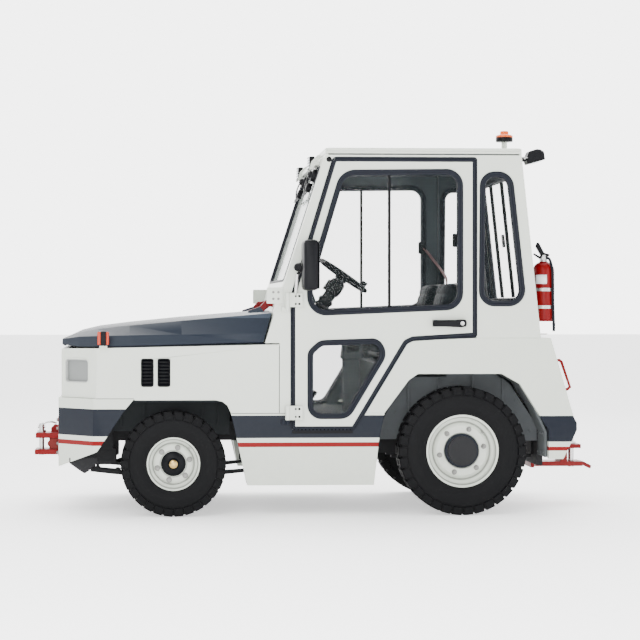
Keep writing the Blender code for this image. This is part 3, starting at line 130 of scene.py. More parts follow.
class Shader:
    """One material: its Principled shader, and a method that adds any other node."""

    def __init__(self, name):
        self.material = bpy.data.materials.new(name)
        self.material.use_nodes = True
        self.tree = self.material.node_tree
        self.principled = self.tree.nodes["Principled BSDF"]
        coordinates = self.tree.nodes.new("ShaderNodeTexCoord")
        self.place = Wire(self, coordinates.outputs["Object"])
        split = self.tree.nodes.new("ShaderNodeSeparateXYZ")
        self.tree.links.new(self.place.socket, split.inputs[0])
        self.x, self.y, self.z = (Wire(self, split.outputs[axis]) for axis in "XYZ")
        geometry = self.tree.nodes.new("ShaderNodeNewGeometry")
        facing = self.tree.nodes.new("ShaderNodeSeparateXYZ")
        self.tree.links.new(geometry.outputs["Normal"], facing.inputs[0])
        self.facing_up = Wire(self, facing.outputs["Z"])

    def node(self, kind, settings, *values, out=0, **named):
        made = self.tree.nodes.new(kind)
        for key, value in settings.items():
            setattr(made, key, value)
        for index, value in enumerate(values):
            self.feed(made.inputs[index], value)
        for key, value in named.items():
            self.feed(made.inputs[key.replace("_", " ")], value)
        return Wire(self, made.outputs[out])

    def feed(self, socket, value):
        if isinstance(value, Wire):
            self.tree.links.new(value.socket, socket)
        else:
            socket.default_value = value

    def noise(self, scale, detail=4.0, roughness=0.5, place=None):
        return self.node("ShaderNodeTexNoise", {}, Vector=place or self.place, Scale=scale,
                         Detail=detail, Roughness=roughness)

    def mix(self, factor, first, second):
        """Between two colours, given as (r, g, b) or wires."""
        mixer = self.tree.nodes.new("ShaderNodeMix")
        mixer.data_type = "RGBA"
        self.feed(mixer.inputs[0], factor)
        for socket, colour in ((mixer.inputs[6], first), (mixer.inputs[7], second)):
            self.feed(socket, colour if isinstance(colour, Wire) else (*colour, 1.0))
        return Wire(self, mixer.outputs[2])

    def bump(self, height, strength, distance):
        bump = self.tree.nodes.new("ShaderNodeBump")
        self.feed(bump.inputs["Height"], height)
        bump.inputs["Strength"].default_value = strength
        bump.inputs["Distance"].default_value = distance
        self.tree.links.new(bump.outputs["Normal"], self.principled.inputs["Normal"])

    def surface(self, **values):
        for key, value in values.items():
            socket = self.principled.inputs[key.replace("_", " ")]
            if isinstance(value, tuple) and len(value) == 3:
                value = (*value, 1.0)
            self.feed(socket, value)


# ---------------------------------------------------------------- finishes

CREAM = (0.520, 0.550, 0.490)
CREAM_SHADE = (0.455, 0.482, 0.425)
NAVY = (0.0036, 0.0058, 0.0112)
RED = (0.150, 0.0001, 0.0012)
DUST = (0.110, 0.104, 0.092)
# colour of the painted shade in the rims' grooves
PAINTED_GROOVE_SHADE = (0.045, 0.045, 0.042)


def painted(name, colour, shade, roughness=0.33, bands=None, coat=0.20, gloss=0.4,
            painted_top_highlight=None, wheel=None):
    """Sprayed paint: slight shade variation, orange peel, dust low down, and stripes if given.

    bands is (navy low, navy high, red low, red high), heights of the two stripes.
    The paler bonnet colour is a painted highlight: faces above the bonnet's shoulders, at 1.02 m, take
    half of it, standing in for the sky's reflection on the bonnet's top.
    wheel is (centre X and Z, then the radius and width of each groove that is darkened with painted
    shade).
    """
    shader = Shader(name)
    cloud = shader.noise(2.2, 5.0, 0.6)
    fine = shader.noise(38.0, 3.0)
    base = shader.mix(cloud * 0.45, colour, shade)
    if painted_top_highlight:
        # painted highlight: above 1.02 m the bonnet is paler, in place of the sky's reflection on its top
        base = shader.mix(shader.z.above(1.020) * 0.5, base, painted_top_highlight)
    if wheel:
        (centre_x, centre_z), *grooves = wheel
        away_x = shader.x - centre_x
        away_z = shader.z - centre_z
        squared = away_x * away_x + away_z * away_z
        radius = squared.math("POWER", squared, 0.5)
        # painted shade: a dark ring along each groove of the rim
        for middle, width in grooves:
            groove = (1 - (radius - middle).size() / width).clamp()
            base = shader.mix(groove * 0.75, base, PAINTED_GROOVE_SHADE)
    if bands:
        navy_low, navy_high, red_low, red_high = bands
        navy_band = shader.z.between(navy_low, navy_high)
        red_band = shader.z.between(red_low, red_high)
        base = shader.mix(navy_band, base, NAVY)
        base = shader.mix(red_band, base, RED)
        coat = coat * (1 - navy_band.largest(red_band))
    low_down = 1 - shader.z.ramp_up(0.12, 0.55)
    dust = (low_down * (cloud * fine * 2.2 - 0.22)).clamp()
    base = shader.mix(dust * 0.16, base, DUST)
    rough = roughness + 0.10 * (fine - 0.5) + 0.22 * dust
    shader.surface(Base_Color=base, Roughness=rough, Coat_Weight=coat)
    shader.principled.inputs["Coat Roughness"].default_value = 0.12
    shader.principled.inputs["Specular IOR Level"].default_value = gloss
    shader.bump(shader.noise(420.0, 2.0), 0.10, 0.0006)
    return shader.material


def plastic(name, colour, roughness=0.5, grain=320.0, depth=0.06, lighter=0.008, gloss=0.10):
    """Moulded plastic or powder coat with a fine grain."""
    shader = Shader(name)
    cloud = shader.noise(6.0, 4.0)
    light = tuple(min(1.0, part + lighter * 0.5) for part in colour)
    shader.surface(Base_Color=shader.mix((cloud - 0.35).clamp() * 0.8, colour, light),
                   Roughness=roughness + 0.16 * (shader.noise(30.0) - 0.5))
    shader.principled.inputs["Specular IOR Level"].default_value = gloss
    shader.bump(shader.noise(grain, 2.0), depth, 0.0005)
    return shader.material


def rubber(name, colour=(0.0040, 0.0048, 0.0070), roughness=0.62):
    shader = Shader(name)
    cloud = shader.noise(9.0, 5.0, 0.6)
    worn = tuple(part * 1.6 + 0.001 for part in colour)
    shader.surface(Base_Color=shader.mix(cloud * 0.7, colour, worn),
                   Roughness=roughness + 0.18 * (cloud - 0.5))
    shader.principled.inputs["Specular IOR Level"].default_value = 0.12
    shader.bump(shader.noise(160.0, 3.0), 0.05, 0.0004)
    return shader.material


def tyre_rubber(name):
    shader = Shader(name)
    cloud = shader.noise(7.0, 6.0, 0.65)
    dusty = (cloud * 1.6 - 0.55).clamp()
    shader.surface(Base_Color=shader.mix(dusty * 0.5, (0.0018, 0.0020, 0.0026), (0.0075, 0.0073, 0.0072)),
                   Roughness=0.62 + 0.2 * (cloud - 0.5))
    shader.principled.inputs["Specular IOR Level"].default_value = 0.10
    shader.bump(shader.noise(110.0, 4.0), 0.35, 0.0012)
    return shader.material


def metal(name, colour, roughness=0.3, scratch=0.25):
    shader = Shader(name)
    stretched = shader.node("ShaderNodeMapping", {}, shader.place)
    stretched.socket.node.inputs["Scale"].default_value = (1.0, 1.0, 14.0)
    lines = shader.noise(60.0, 3.0, 0.6, stretched)
    cloud = shader.noise(11.0)
    dark = tuple(part * 0.6 for part in colour)
    shader.surface(Base_Color=shader.mix(cloud * 0.7, colour, dark), Metallic=1.0,
                   Roughness=roughness + scratch * (lines - 0.5))
    shader.bump(lines, 0.12, 0.0004)
    return shader.material


def casting(name, colour, roughness=0.62):
    """Chassis paint over rough castings, with road dust on top faces."""
    shader = Shader(name)
    cloud = shader.noise(8.0, 6.0, 0.65)
    dust = (shader.facing_up.ramp_up(0.2, 0.9) * cloud * 1.3 - 0.2).clamp()
    base = shader.mix(cloud * 0.6, colour, tuple(part * 1.8 + 0.002 for part in colour))
    shader.surface(Base_Color=shader.mix(dust * 0.5, base, (0.06, 0.056, 0.050)),
                   Roughness=roughness + 0.2 * (cloud - 0.5))
    shader.principled.inputs["Specular IOR Level"].default_value = 0.2
    shader.bump(shader.noise(75.0, 5.0), 0.45, 0.0015)
    return shader.material


def glass(name, tint_and_painted_reflection=(0.03, 0.04, 0.04), alpha=0.07, edge_on_painted_reflection=0.0):
    """A clear pane that grows more opaque where it is seen at a low angle, by the edge-on share; its
    colour then shows as a painted reflection of the bright surroundings.
    """
    shader = Shader(name)
    cloud = shader.noise(3.0, 4.0)
    low = shader.node("ShaderNodeLayerWeight", {}, out=1, Blend=0.15)
    # more opaque at low angles: painted reflection
    shader.surface(Base_Color=tint_and_painted_reflection, Roughness=0.03 + 0.05 * cloud,
                   Alpha=alpha + 0.03 * (cloud - 0.5) + low * edge_on_painted_reflection)
    shader.principled.inputs["IOR"].default_value = 1.45
    return shader.material


def lens(name, colour, glow=0.0):
    """A ribbed lamp lens."""
    shader = Shader(name)
    wave = shader.node("ShaderNodeTexWave", {"bands_direction": "Z"}, Vector=shader.place, Scale=60.0)
    shader.surface(Base_Color=shader.mix(wave * 0.35, colour, tuple(part * 0.55 for part in colour)),
                   Roughness=0.16 + 0.05 * wave, Coat_Weight=0.1)
    shader.principled.inputs["Specular IOR Level"].default_value = 0.25
    if glow:
        shader.surface(Emission_Color=colour)
        shader.principled.inputs["Emission Strength"].default_value = glow
    shader.bump(wave, 0.3, 0.001)
    return shader.material


def frosted(name, colour):
    """Pale moulded cover with upright flutes."""
    shader = Shader(name)
    wave = shader.node("ShaderNodeTexWave", {"bands_direction": "X"}, Vector=shader.place, Scale=28.0)
    cloud = shader.noise(9.0)
    darker = tuple(part * 0.85 for part in colour)
    shader.surface(Base_Color=shader.mix(wave * 0.25 + cloud * 0.3, colour, darker),
                   Roughness=0.35 + 0.1 * cloud)
    shader.bump(wave, 0.10, 0.001)
    return shader.material


def vinyl(name):
    """Seat cover with a leather grain."""
    shader = Shader(name)
    cells = shader.node("ShaderNodeTexVoronoi", {"feature": "DISTANCE_TO_EDGE"}, Vector=shader.place,
                        Scale=260.0)
    cloud = shader.noise(5.0, 5.0)
    shader.surface(Base_Color=shader.mix(cloud * 0.8, (0.0050, 0.0060, 0.0078), (0.0110, 0.0125, 0.0150)),
                   Roughness=0.62 + 0.2 * (cloud - 0.5))
    shader.principled.inputs["Specular IOR Level"].default_value = 0.05
    shader.bump(cells, 0.08, 0.0004)
    return shader.material


def webbing(name, colour):
    """Woven strap: fine ribs across, soft sheen."""
    shader = Shader(name)
    weave = shader.node("ShaderNodeTexWave", {"bands_direction": "DIAGONAL"}, Vector=shader.place,
                        Scale=180.0)
    dark = tuple(part * 0.5 for part in colour)
    shader.surface(Base_Color=shader.mix(weave * 0.6, colour, dark), Roughness=0.7 + 0.1 * weave)
    shader.principled.inputs["Sheen Weight"].default_value = 0.3
    shader.bump(weave, 0.4, 0.0006)
    return shader.material


def arch_lining(name, colour):
    shader = Shader(name)
    cloud = shader.noise(9.0, 5.0)
    paler = tuple(part * 1.5 for part in colour)
    shader.surface(Base_Color=shader.mix(cloud, colour, paler), Roughness=0.75)
    shader.principled.inputs["Specular IOR Level"].default_value = 0.2
    shader.bump(shader.noise(140.0, 4.0), 0.4, 0.001)
    return shader.material


BANDS = {
    "bumper": (0.418, 0.556, 0.370, 0.393),
    "side": (0.407, 0.522, 0.361, 0.384),
    "rear": (0.383, 0.516, 0.337, 0.357),
}

F = {
    "cream": painted("cream_paint", CREAM, CREAM_SHADE),
    "cream_bumper": painted("cream_bumper_stripes", CREAM, CREAM_SHADE, bands=BANDS["bumper"], gloss=0.12),
    "cream_side": painted("cream_side_stripes", CREAM, CREAM_SHADE, bands=BANDS["side"], gloss=0.12),
    "cream_rear": painted("cream_rear_stripes", CREAM, CREAM_SHADE, bands=BANDS["rear"], gloss=0.12),
    # the rims' grooves are darkened with painted shade
    "front_rim": painted("front_rim_paint", CREAM, CREAM_SHADE, coat=0.05, gloss=0.2,
                         wheel=(FRONT_AXLE, (0.107, 0.006), (0.126, 0.004), (0.068, 0.005))),
    "rear_rim": painted("rear_rim_paint", CREAM, CREAM_SHADE, coat=0.05, gloss=0.2,
                        wheel=(REAR_AXLE, (0.150, 0.007), (0.174, 0.004), (0.090, 0.005))),
    "navy": painted("navy_paint", NAVY, (0.010, 0.014, 0.023), 0.38, coat=0.0, gloss=0.12),
    # the bonnet's paler top is a painted highlight, standing in for the sky's reflection
    "bonnet": painted("bonnet_paint", (0.0080, 0.0120, 0.0195), (0.013, 0.018, 0.028), 0.42, coat=0.0,
                      gloss=0.14, painted_top_highlight=(0.048, 0.062, 0.084)),
    "red": painted("red_paint", RED, (0.15, 0.0002, 0.0015), 0.32, coat=0.0, gloss=0.14),
    "black": plastic("black_plastic", (0.0026, 0.0029, 0.0040), 0.42, lighter=0.004),
    "seal": rubber("seal_rubber", (0.0042, 0.0054, 0.0090), 0.5),
    "trim": plastic("cab_trim", (0.052, 0.060, 0.062), 0.62, 200.0, 0.12, 0.03),
    "mat": rubber("floor_mat", (0.035, 0.042, 0.042), 0.8),
    "tyre": tyre_rubber("tyre_rubber"),
    "steel": metal("bright_steel", (0.62, 0.62, 0.61), 0.30),
    "zinc": metal("zinc_bolts", (0.20, 0.20, 0.19), 0.42),
    "gold": metal("hub_cap", (0.55, 0.38, 0.14), 0.34),
    "iron": casting("black_castings", (0.0050, 0.0052, 0.0062)),
    "frame": casting("chassis_paint", (0.0055, 0.0055, 0.0065)),
    "liner": arch_lining("arch_lining", (0.062, 0.068, 0.072)),
    # darker copy of the arch lining: painted shade deep in the front arch
    "painted_shade_liner": arch_lining("front_arch_lining", (0.022, 0.025, 0.027)),
    "tray": plastic("lamp_tray", (0.30, 0.31, 0.30), 0.55, lighter=0.1),
    "frost": frosted("lamp_cover", (0.150, 0.160, 0.156)),
    "lining": plastic("cab_lining", (0.040, 0.047, 0.052), 0.6, 200.0, 0.12),
    "belt": webbing("belt_webbing", (0.11, 0.001, 0.004)),
    "flap": rubber("mud_flap", (0.060, 0.066, 0.068), 0.7),
    "stop": lens("stop_lens", (0.55, 0.008, 0.010)),
    "brown": casting("coupler_web", (0.10, 0.010, 0.008)),
    # the windscreen's pale colour, shown where it is seen edge-on, is a painted reflection
    "screen_glass": glass("windscreen_glass", (0.60, 0.66, 0.62), 0.05, 0.9),
    "glass": glass("window_glass"),
    "mirror": metal("mirror_glass", (0.85, 0.87, 0.88), 0.05, 0.02),
    "amber": lens("amber_lens", (0.60, 0.085, 0.0), 0.25),
    "orange": lens("signal_lens", (0.36, 0.022, 0.0), 0.03),
    "clear": lens("lamp_glass", (0.82, 0.84, 0.86)),
    "vinyl": vinyl("seat_vinyl"),
}


# ---------------------------------------------------------------- mesh tools

def piece(name, mesh, finish, body="root"):
    obj = bpy.data.objects.new(name, mesh)
    bpy.context.scene.collection.objects.link(obj)
    if finish:
        mesh.materials.clear()
        mesh.materials.append(F[finish])
    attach(obj, body)
    return obj


def finished_mesh(work, name, angle=35):
    bmesh.ops.recalc_face_normals(work, faces=work.faces)
    mesh = bpy.data.meshes.new(name)
    work.to_mesh(mesh)
    work.free()
    mesh.shade_smooth()
    mesh.set_sharp_from_angle(angle=math.radians(angle))
    return mesh


def bevelled(obj, width, segments=2, angle=35):
    bevel = obj.modifiers.new("soft_edges", "BEVEL")
    bevel.width = width
    bevel.segments = segments
    bevel.limit_method = "ANGLE"
    bevel.angle_limit = math.radians(angle)
    bevel.harden_normals = True
    return obj


def dressed(node, finish, body="root", bevel=0.003, rule=None, smooth_below=35):
    """A CAD node's own shape with softened edges; rule picks a finish for a face's centre."""
    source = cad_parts[node]
    work = bmesh.new()
    work.from_mesh(source.data)
    bmesh.ops.remove_doubles(work, verts=work.verts, dist=0.00002)
    bmesh.ops.dissolve_limit(work, angle_limit=math.radians(0.5), verts=work.verts, edges=work.edges)
    bmesh.ops.triangulate(work, faces=[face for face in work.faces if len(face.verts) > 4])
    finishes = [finish]
    if rule:
        for face in work.faces:
            wanted = rule(face.calc_center_median(), face.normal) or finish
            if wanted not in finishes:
                finishes.append(wanted)
            face.material_index = finishes.index(wanted)
    mesh = finished_mesh(work, node + "_look", smooth_below)
    for name in finishes:
        mesh.materials.append(F[name])
    obj = bpy.data.objects.new(node + "_look", mesh)
    bpy.context.scene.collection.objects.link(obj)
    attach(obj, body)
    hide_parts(node)
    if bevel:
        bevelled(obj, bevel)
    return obj


def block(work, low, high, matrix=None):
    made = bmesh.ops.create_cube(work, size=1.0)["verts"]
    low, high = Vector(low), Vector(high)
    shift = Matrix.Translation((low + high) / 2) @ Matrix.Diagonal((*(high - low), 1.0))
    bmesh.ops.transform(work, matrix=(matrix or Matrix.Identity(4)) @ shift, verts=made)
    return made


def rod(work, start, end, radius, segments=16, end_radius=None):
    start, end = Vector(start), Vector(end)
    made = bmesh.ops.create_cone(work, cap_ends=True, segments=segments, radius1=radius,
                                 radius2=radius if end_radius is None else end_radius,
                                 depth=(end - start).length)["verts"]
    turn = (end - start).to_track_quat("Z", "Y").to_matrix().to_4x4()
    bmesh.ops.transform(work, matrix=Matrix.Translation((start + end) / 2) @ turn, verts=made)
    return made


def arc_corner(before, corner, after, radius, steps):
    corner = Vector(corner)
    inward = (Vector(before) - corner).normalized()
    outward = (Vector(after) - corner).normalized()
    half = inward.angle(outward) / 2
    reach = radius / math.tan(half)
    centre = corner + (inward + outward).normalized() * (radius / math.sin(half))
    first = corner + inward * reach - centre
    last = corner + outward * reach - centre
    sweep = first.angle_signed(last)
    points = []
    for step in range(steps + 1):
        turn = -sweep * step / steps
        cosine, sine = math.cos(turn), math.sin(turn)
        points.append((centre.x + first.x * cosine - first.y * sine,
                       centre.y + first.x * sine + first.y * cosine))
    return points


def rounded(corners, steps=8):
    points = []
    count = len(corners)
    for index, corner in enumerate(corners):
        if len(corner) == 2:
            points.append(tuple(corner))
            continue
        points += arc_corner(corners[index - 1][:2], corner[:2], corners[(index + 1) % count][:2],
                             corner[2], steps)
    return points


def offset(outline, amount):
    area = sum(a[0] * b[1] - b[0] * a[1] for a, b in zip(outline, outline[1:] + outline[:1]))
    turn = 1 if area > 0 else -1
    points = []
    count = len(outline)
    for index in range(count):
        here = Vector(outline[index])
        before = (here - Vector(outline[index - 1])).normalized()
        after = (Vector(outline[(index + 1) % count]) - here).normalized()
        normal_before = Vector((before.y, -before.x)) * turn
        normal_after = Vector((after.y, -after.x)) * turn
        middle = (normal_before + normal_after).normalized()
        points.append(tuple(here + middle * (amount / max(0.3, middle.dot(normal_after)))))
    return points


def ring_section(work, outline, section, place):
    """Sweep a closed section (outward offset, height) round a closed outline.

    place(u, v, height) gives the point in space.
    """
    loops = []
    for grow, height in section:
        loops.append([work.verts.new(place(u, v, height)) for u, v in offset(outline, grow)])
    count = len(outline)
    for index, loop in enumerate(loops):
        following = loops[(index + 1) % len(loops)]
        for step in range(count):
            after = (step + 1) % count
            work.faces.new((loop[step], loop[after], following[after], following[step]))


def on_side(side, base=BODY):
    return lambda u, v, height: (u, side * (base + height), v)


def lathe(work, profile, segments, matrix, closed=False):
    """Turn (radius, height) points about Z, then place them with a matrix."""
    rows = []
    for step in range(segments):
        angle = 2 * math.pi * step / segments
        rows.append([work.verts.new(matrix @ Vector((r * math.cos(angle), r * math.sin(angle), h)))
                     for r, h in profile])
    steps = len(profile) if closed else len(profile) - 1
    for step in range(segments):
        row, following = rows[step], rows[(step + 1) % segments]
        for index in range(steps):
            after = (index + 1) % len(profile)
            work.faces.new((row[index], row[after], following[after], following[index]))
    if not closed:
        bmesh.ops.remove_doubles(work, verts=work.verts, dist=0.00002)


def pipe(work, points, radius, segments=10):
    """A round bar that follows points, with mitred bends and flat ends."""
    points = [Vector(point) for point in points]
    loops = []
    side = None
    for index, point in enumerate(points):
        before = points[max(index - 1, 0)]
        after = points[min(index + 1, len(points) - 1)]
        along = (after - before).normalized()
        if side is None:
            side = along.orthogonal().normalized()
        side = (side - along * side.dot(along)).normalized()
        up = along.cross(side)
        loops.append([work.verts.new(point + radius * (math.cos(2 * math.pi * k / segments) * side
                                                       + math.sin(2 * math.pi * k / segments) * up))
                      for k in range(segments)])
    for first, second in zip(loops, loops[1:]):
        for k in range(segments):
            after = (k + 1) % segments
            work.faces.new((first[k], first[after], second[after], second[k]))
    work.faces.new(loops[0][::-1])
    work.faces.new(loops[-1])


def curved(points, steps=6):
    """Points of a smooth curve through the given ones."""
    points = [Vector(point) for point in points]
    padded = [points[0] * 2 - points[1], *points, points[-1] * 2 - points[-2]]
    made = []
    for index in range(1, len(padded) - 2):
        p0, p1, p2, p3 = padded[index - 1:index + 3]
        for step in range(steps):
            t = step / steps
            made.append(0.5 * ((2 * p1) + (p2 - p0) * t + (2 * p0 - 5 * p1 + 4 * p2 - p3) * t * t
                               + (3 * p1 - p0 - 3 * p2 + p3) * t * t * t))
    made.append(points[-1])
    return made


def bolt_head(work, centre, outward, radius=0.008, height=0.006):
    """Hexagon head on a round washer."""
    centre, outward = Vector(centre), Vector(outward).normalized()
    rod(work, centre, centre + outward * 0.002, radius * 1.45, 16)
    rod(work, centre + outward * 0.002, centre + outward * (0.002 + height), radius, 6)


# ---------------------------------------------------------------- window and door outlines

def upper_window():
    return rounded([(-0.076, 1.040, 0.085), (0.704, 1.073, 0.080), (0.704, 1.775, 0.075),
                    (0.092, 1.768, 0.090), (-0.048, 1.300, 0.200), (-0.078, 1.160, 0.100)])


def lower_window():
    return rounded([(-0.076, 0.514, 0.060), (0.120, 0.514, 0.070), (0.316, 0.840, 0.070),
                    (0.272, 0.906, 0.050), (-0.020, 0.896, 0.060), (-0.076, 0.845, 0.050)])


def quarter_window():
    return rounded([(0.806, 1.090, 0.070), (1.034, 1.090, 0.075), (0.960, 1.762, 0.070),
                    (0.812, 1.762, 0.065)])


def door_outline():
    slope = (0.892 - 0.445) / (0.425 - 0.155)
    knee = 0.905
    top = 1.842
    front = -0.170 + (top - 1.132) * 0.3035
    return rounded([(-0.170, 0.445, 0.010), (0.155, 0.445, 0.012),
                    (0.155 + (knee - 0.015 - 0.445) / slope, knee - 0.015, 0.02), (0.456, knee, 0.01),
                    (0.784, 0.925, 0.010), (0.784, top, 0.012), (front, top, 0.025),
                    (-0.170, 1.132, 0.05)], 4)


# ---------------------------------------------------------------- seals and glass

def make_seals():
    """Rubber sections round the panes, and the dark seal in the gap round each door."""
    window_section = [(0.011, 0.0005), (0.010, 0.005), (0.003, 0.009), (-0.004, 0.0075),
                      (-0.006, 0.004), (-0.009, 0.005), (-0.017, 0.002), (-0.019, -0.004),
                      (-0.018, -0.0165), (-0.001, -0.0165), (-0.001, 0.0005)]
    inner_section = [(0.012, -0.0405), (0.010, -0.046), (-0.010, -0.046), (-0.018, -0.036),
                     (-0.018, -0.0235), (-0.001, -0.0235), (-0.001, -0.0405)]
    for name, side in SIDES:
        place = on_side(side)
        work = bmesh.new()
        for outline in (upper_window(), lower_window()):
            ring_section(work, outline, window_section, place)
            ring_section(work, outline, inner_section, place)
        piece("door_window_seals_" + name, finished_mesh(work, "seal", 50), "seal", name + "_door")
        work = bmesh.new()
        ring_section(work, quarter_window(), window_section, place)
        ring_section(work, quarter_window(), inner_section, place)
        piece("quarter_window_seals_" + name, finished_mesh(work, "seal", 50), "seal")
        work = bmesh.new()
        ring_section(work, door_outline(), [(-0.0052, -0.004), (-0.0054, 0.002), (-0.007, 0.004),
                     (-0.013, 0.0055), (-0.019, 0.0035), (-0.021, 0.0004), (-0.0061, 0.0004),
                     (-0.0061, -0.004)], place)
        piece("door_lip_seal_" + name, finished_mesh(work, "seal", 50), "seal", name + "_door")
        work = bmesh.new()
        ring_section(work, door_outline(), [(0.004, 0.0004), (0.003, 0.003), (-0.001, 0.003),
                     (-0.0045, 0.001), (-0.0045, -0.036), (-0.0004, -0.036), (-0.0004, 0.0004)], place)
        piece("door_frame_seal_" + name, finished_mesh(work, "seal", 50), "seal")


# ---------------------------------------------------------------- wheels

GROOVE = 0.011                                      # depth of the tread
TREAD_DROP = 0.0012                                 # blocks' faces inside the tyre's own radius
RIM_SHARE = 0.80                                    # rim's width as a share of the tyre's
NUTS = 6

# rim_back and rim_face: down from the lip, then in from the rim's edge. hub and cap: radius, then
# out from the disc.
FRONT_WHEEL = {
    "blocks": 30, "segments": 96, "disc_depth": 0.028, "nut_ring": 0.085, "first_nut": 75,
    "hub_bolts": 0, "rim_finish": "front_rim", "hub_finish": "black",
    "rim_back": [(0.008, 0.0), (0.0, 0.0), (0.001, 0.005), (0.010, 0.012)],
    "rim_face": [(0.012, 0.012), (0.001, 0.005), (0.0, 0.001), (0.004, 0.0), (0.009, 0.003),
                 (0.013, 0.014), (0.016, 0.030), (0.028, 0.038), (0.032, 0.040), (0.037, 0.033),
                 (0.046, 0.028), (0.072, 0.028), (0.078, 0.034), (0.090, 0.034), (0.090, 0.052),
                 (0.050, 0.054), (0.018, 0.058)],
    "hub": [(0.0, 0.030), (0.020, 0.030), (0.026, 0.026), (0.030, 0.012), (0.052, 0.008),
            (0.058, 0.002), (0.066, -0.002), (0.066, -0.020)],
    "cap": [(0.0, 0.044), (0.014, 0.043), (0.021, 0.038), (0.023, 0.028), (0.023, 0.020)],
}
REAR_WHEEL = {
    "blocks": 34, "segments": 112, "disc_depth": 0.034, "nut_ring": 0.117, "first_nut": 71,
    "hub_bolts": 14, "rim_finish": "rear_rim", "hub_finish": "navy",
    "rim_back": [(0.010, 0.0), (0.0, 0.0), (0.001, 0.006), (0.012, 0.014)],
    "rim_face": [(0.014, 0.014), (0.001, 0.006), (0.0, 0.001), (0.005, 0.0), (0.011, 0.003),
                 (0.016, 0.016), (0.020, 0.036), (0.036, 0.046), (0.041, 0.050), (0.047, 0.040),
                 (0.060, 0.032), (0.094, 0.034), (0.100, 0.040), (0.112, 0.040), (0.112, 0.060),
                 (0.060, 0.062), (0.024, 0.066)],
    "hub": [(0.0, 0.020), (0.030, 0.020), (0.034, 0.016), (0.060, 0.014), (0.064, 0.010),
            (0.082, 0.008), (0.088, 0.002), (0.088, -0.020)],
    "cap": None,
}


def tread_block(work, centre, along, across, up, length, width, depth, lean):
    low = Vector((-length / 2, -width / 2, -depth))
    high = Vector((length / 2, width / 2, 0.0))
    made = block(work, low, high)
    for vert in made:
        shrink = 0.93 if vert.co.z > -depth / 2 else 1.0
        vert.co.x = vert.co.x * shrink + vert.co.y * lean
        vert.co.y *= shrink
    turn = Matrix((along, across, up)).transposed().to_4x4()
    bmesh.ops.transform(work, matrix=Matrix.Translation(centre) @ turn, verts=made)


def round_axle(angle):
    """Outward and tangent directions at an angle, in radians, round an axle."""
    along_x, along_z = math.cos(angle), math.sin(angle)
    return Vector((along_x, 0, along_z)), Vector((-along_z, 0, along_x))


def tyre_profile(bead, skin, section, half):
    """Carcass from the bead over the wall and the shoulder to the middle of the tread."""
    shape = [(bead - 0.002, 0.74), (bead + 0.003, 0.84), (bead + 0.010, 0.86),
             (bead + 0.016, 0.90), (bead + section * 0.30, 0.965),
             (bead + section * 0.38, 0.985), (bead + section * 0.41, 0.975),
             (bead + section * 0.56, 0.975), (bead + section * 0.66, 0.935),
             (bead + section * 0.76, 0.895), (skin - 0.006, 0.84), (skin - 0.001, 0.74),
             (skin, 0.50), (skin + 0.0015, 0.0)]
    profile = [(radius, half * share) for radius, share in shape]
    return profile + [(radius, -height) for radius, height in reversed(profile[:-1])]


def make_tyre(place, blocks, segments):
    low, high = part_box(place + "_tyre")
    centre = (low + high) / 2
    radius = (high.z - low.z) / 2
    half = (high.y - low.y) / 2
    rim_low, rim_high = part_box(place + "_rim")
    bead = (rim_high.z - rim_low.z) / 2
    pitch = 2 * math.pi * radius / blocks
    axis = Matrix.Translation(centre) @ Matrix.Rotation(math.radians(90), 4, "X")
    across = Vector((0, 1, 0))
    work = bmesh.new()
    lathe(work, tyre_profile(bead, radius - GROOVE, radius - bead, half), segments, axis, closed=False)
    for step in range(blocks):
        angle = 2 * math.pi * step / blocks
        spoke, along = round_axle(angle)
        crown = centre + spoke * (radius - TREAD_DROP)
        # two slanted rows, with a middle row half a pitch on
        for share, lean in ((0.33, 0.35), (-0.33, -0.35)):
            tread_block(work, crown + across * (half * share), along, across, spoke, pitch * 0.66,
                        half * 0.24, GROOVE + 0.003, lean)
        middle, past = round_axle(angle + math.pi / blocks)
        tread_block(work, centre + middle * (radius - TREAD_DROP), past, across, middle, pitch * 0.66,
                    half * 0.26, GROOVE + 0.003, 0.0)
        for way in (-1, 1):
            # shoulder lugs wrap down the side of the tread
            tread_block(work, crown + across * (way * half * 0.66), along, across, spoke, pitch * 0.78,
                        half * 0.30, GROOVE + 0.006, way * 0.20)
            tilt = (across * way + spoke * 0.30).normalized()
            low_spot = centre + spoke * (radius - 0.024) + across * (way * half * 0.955)
            tread_block(work, low_spot, along, along.cross(tilt), tilt, pitch * 0.74, 0.040, 0.016, 0.0)
    tyre = piece(place + "_tyre_look", finished_mesh(work, "tyre", 40), "tyre", place + "_wheel")
    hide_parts(place + "_tyre")
    return centre, bead, half


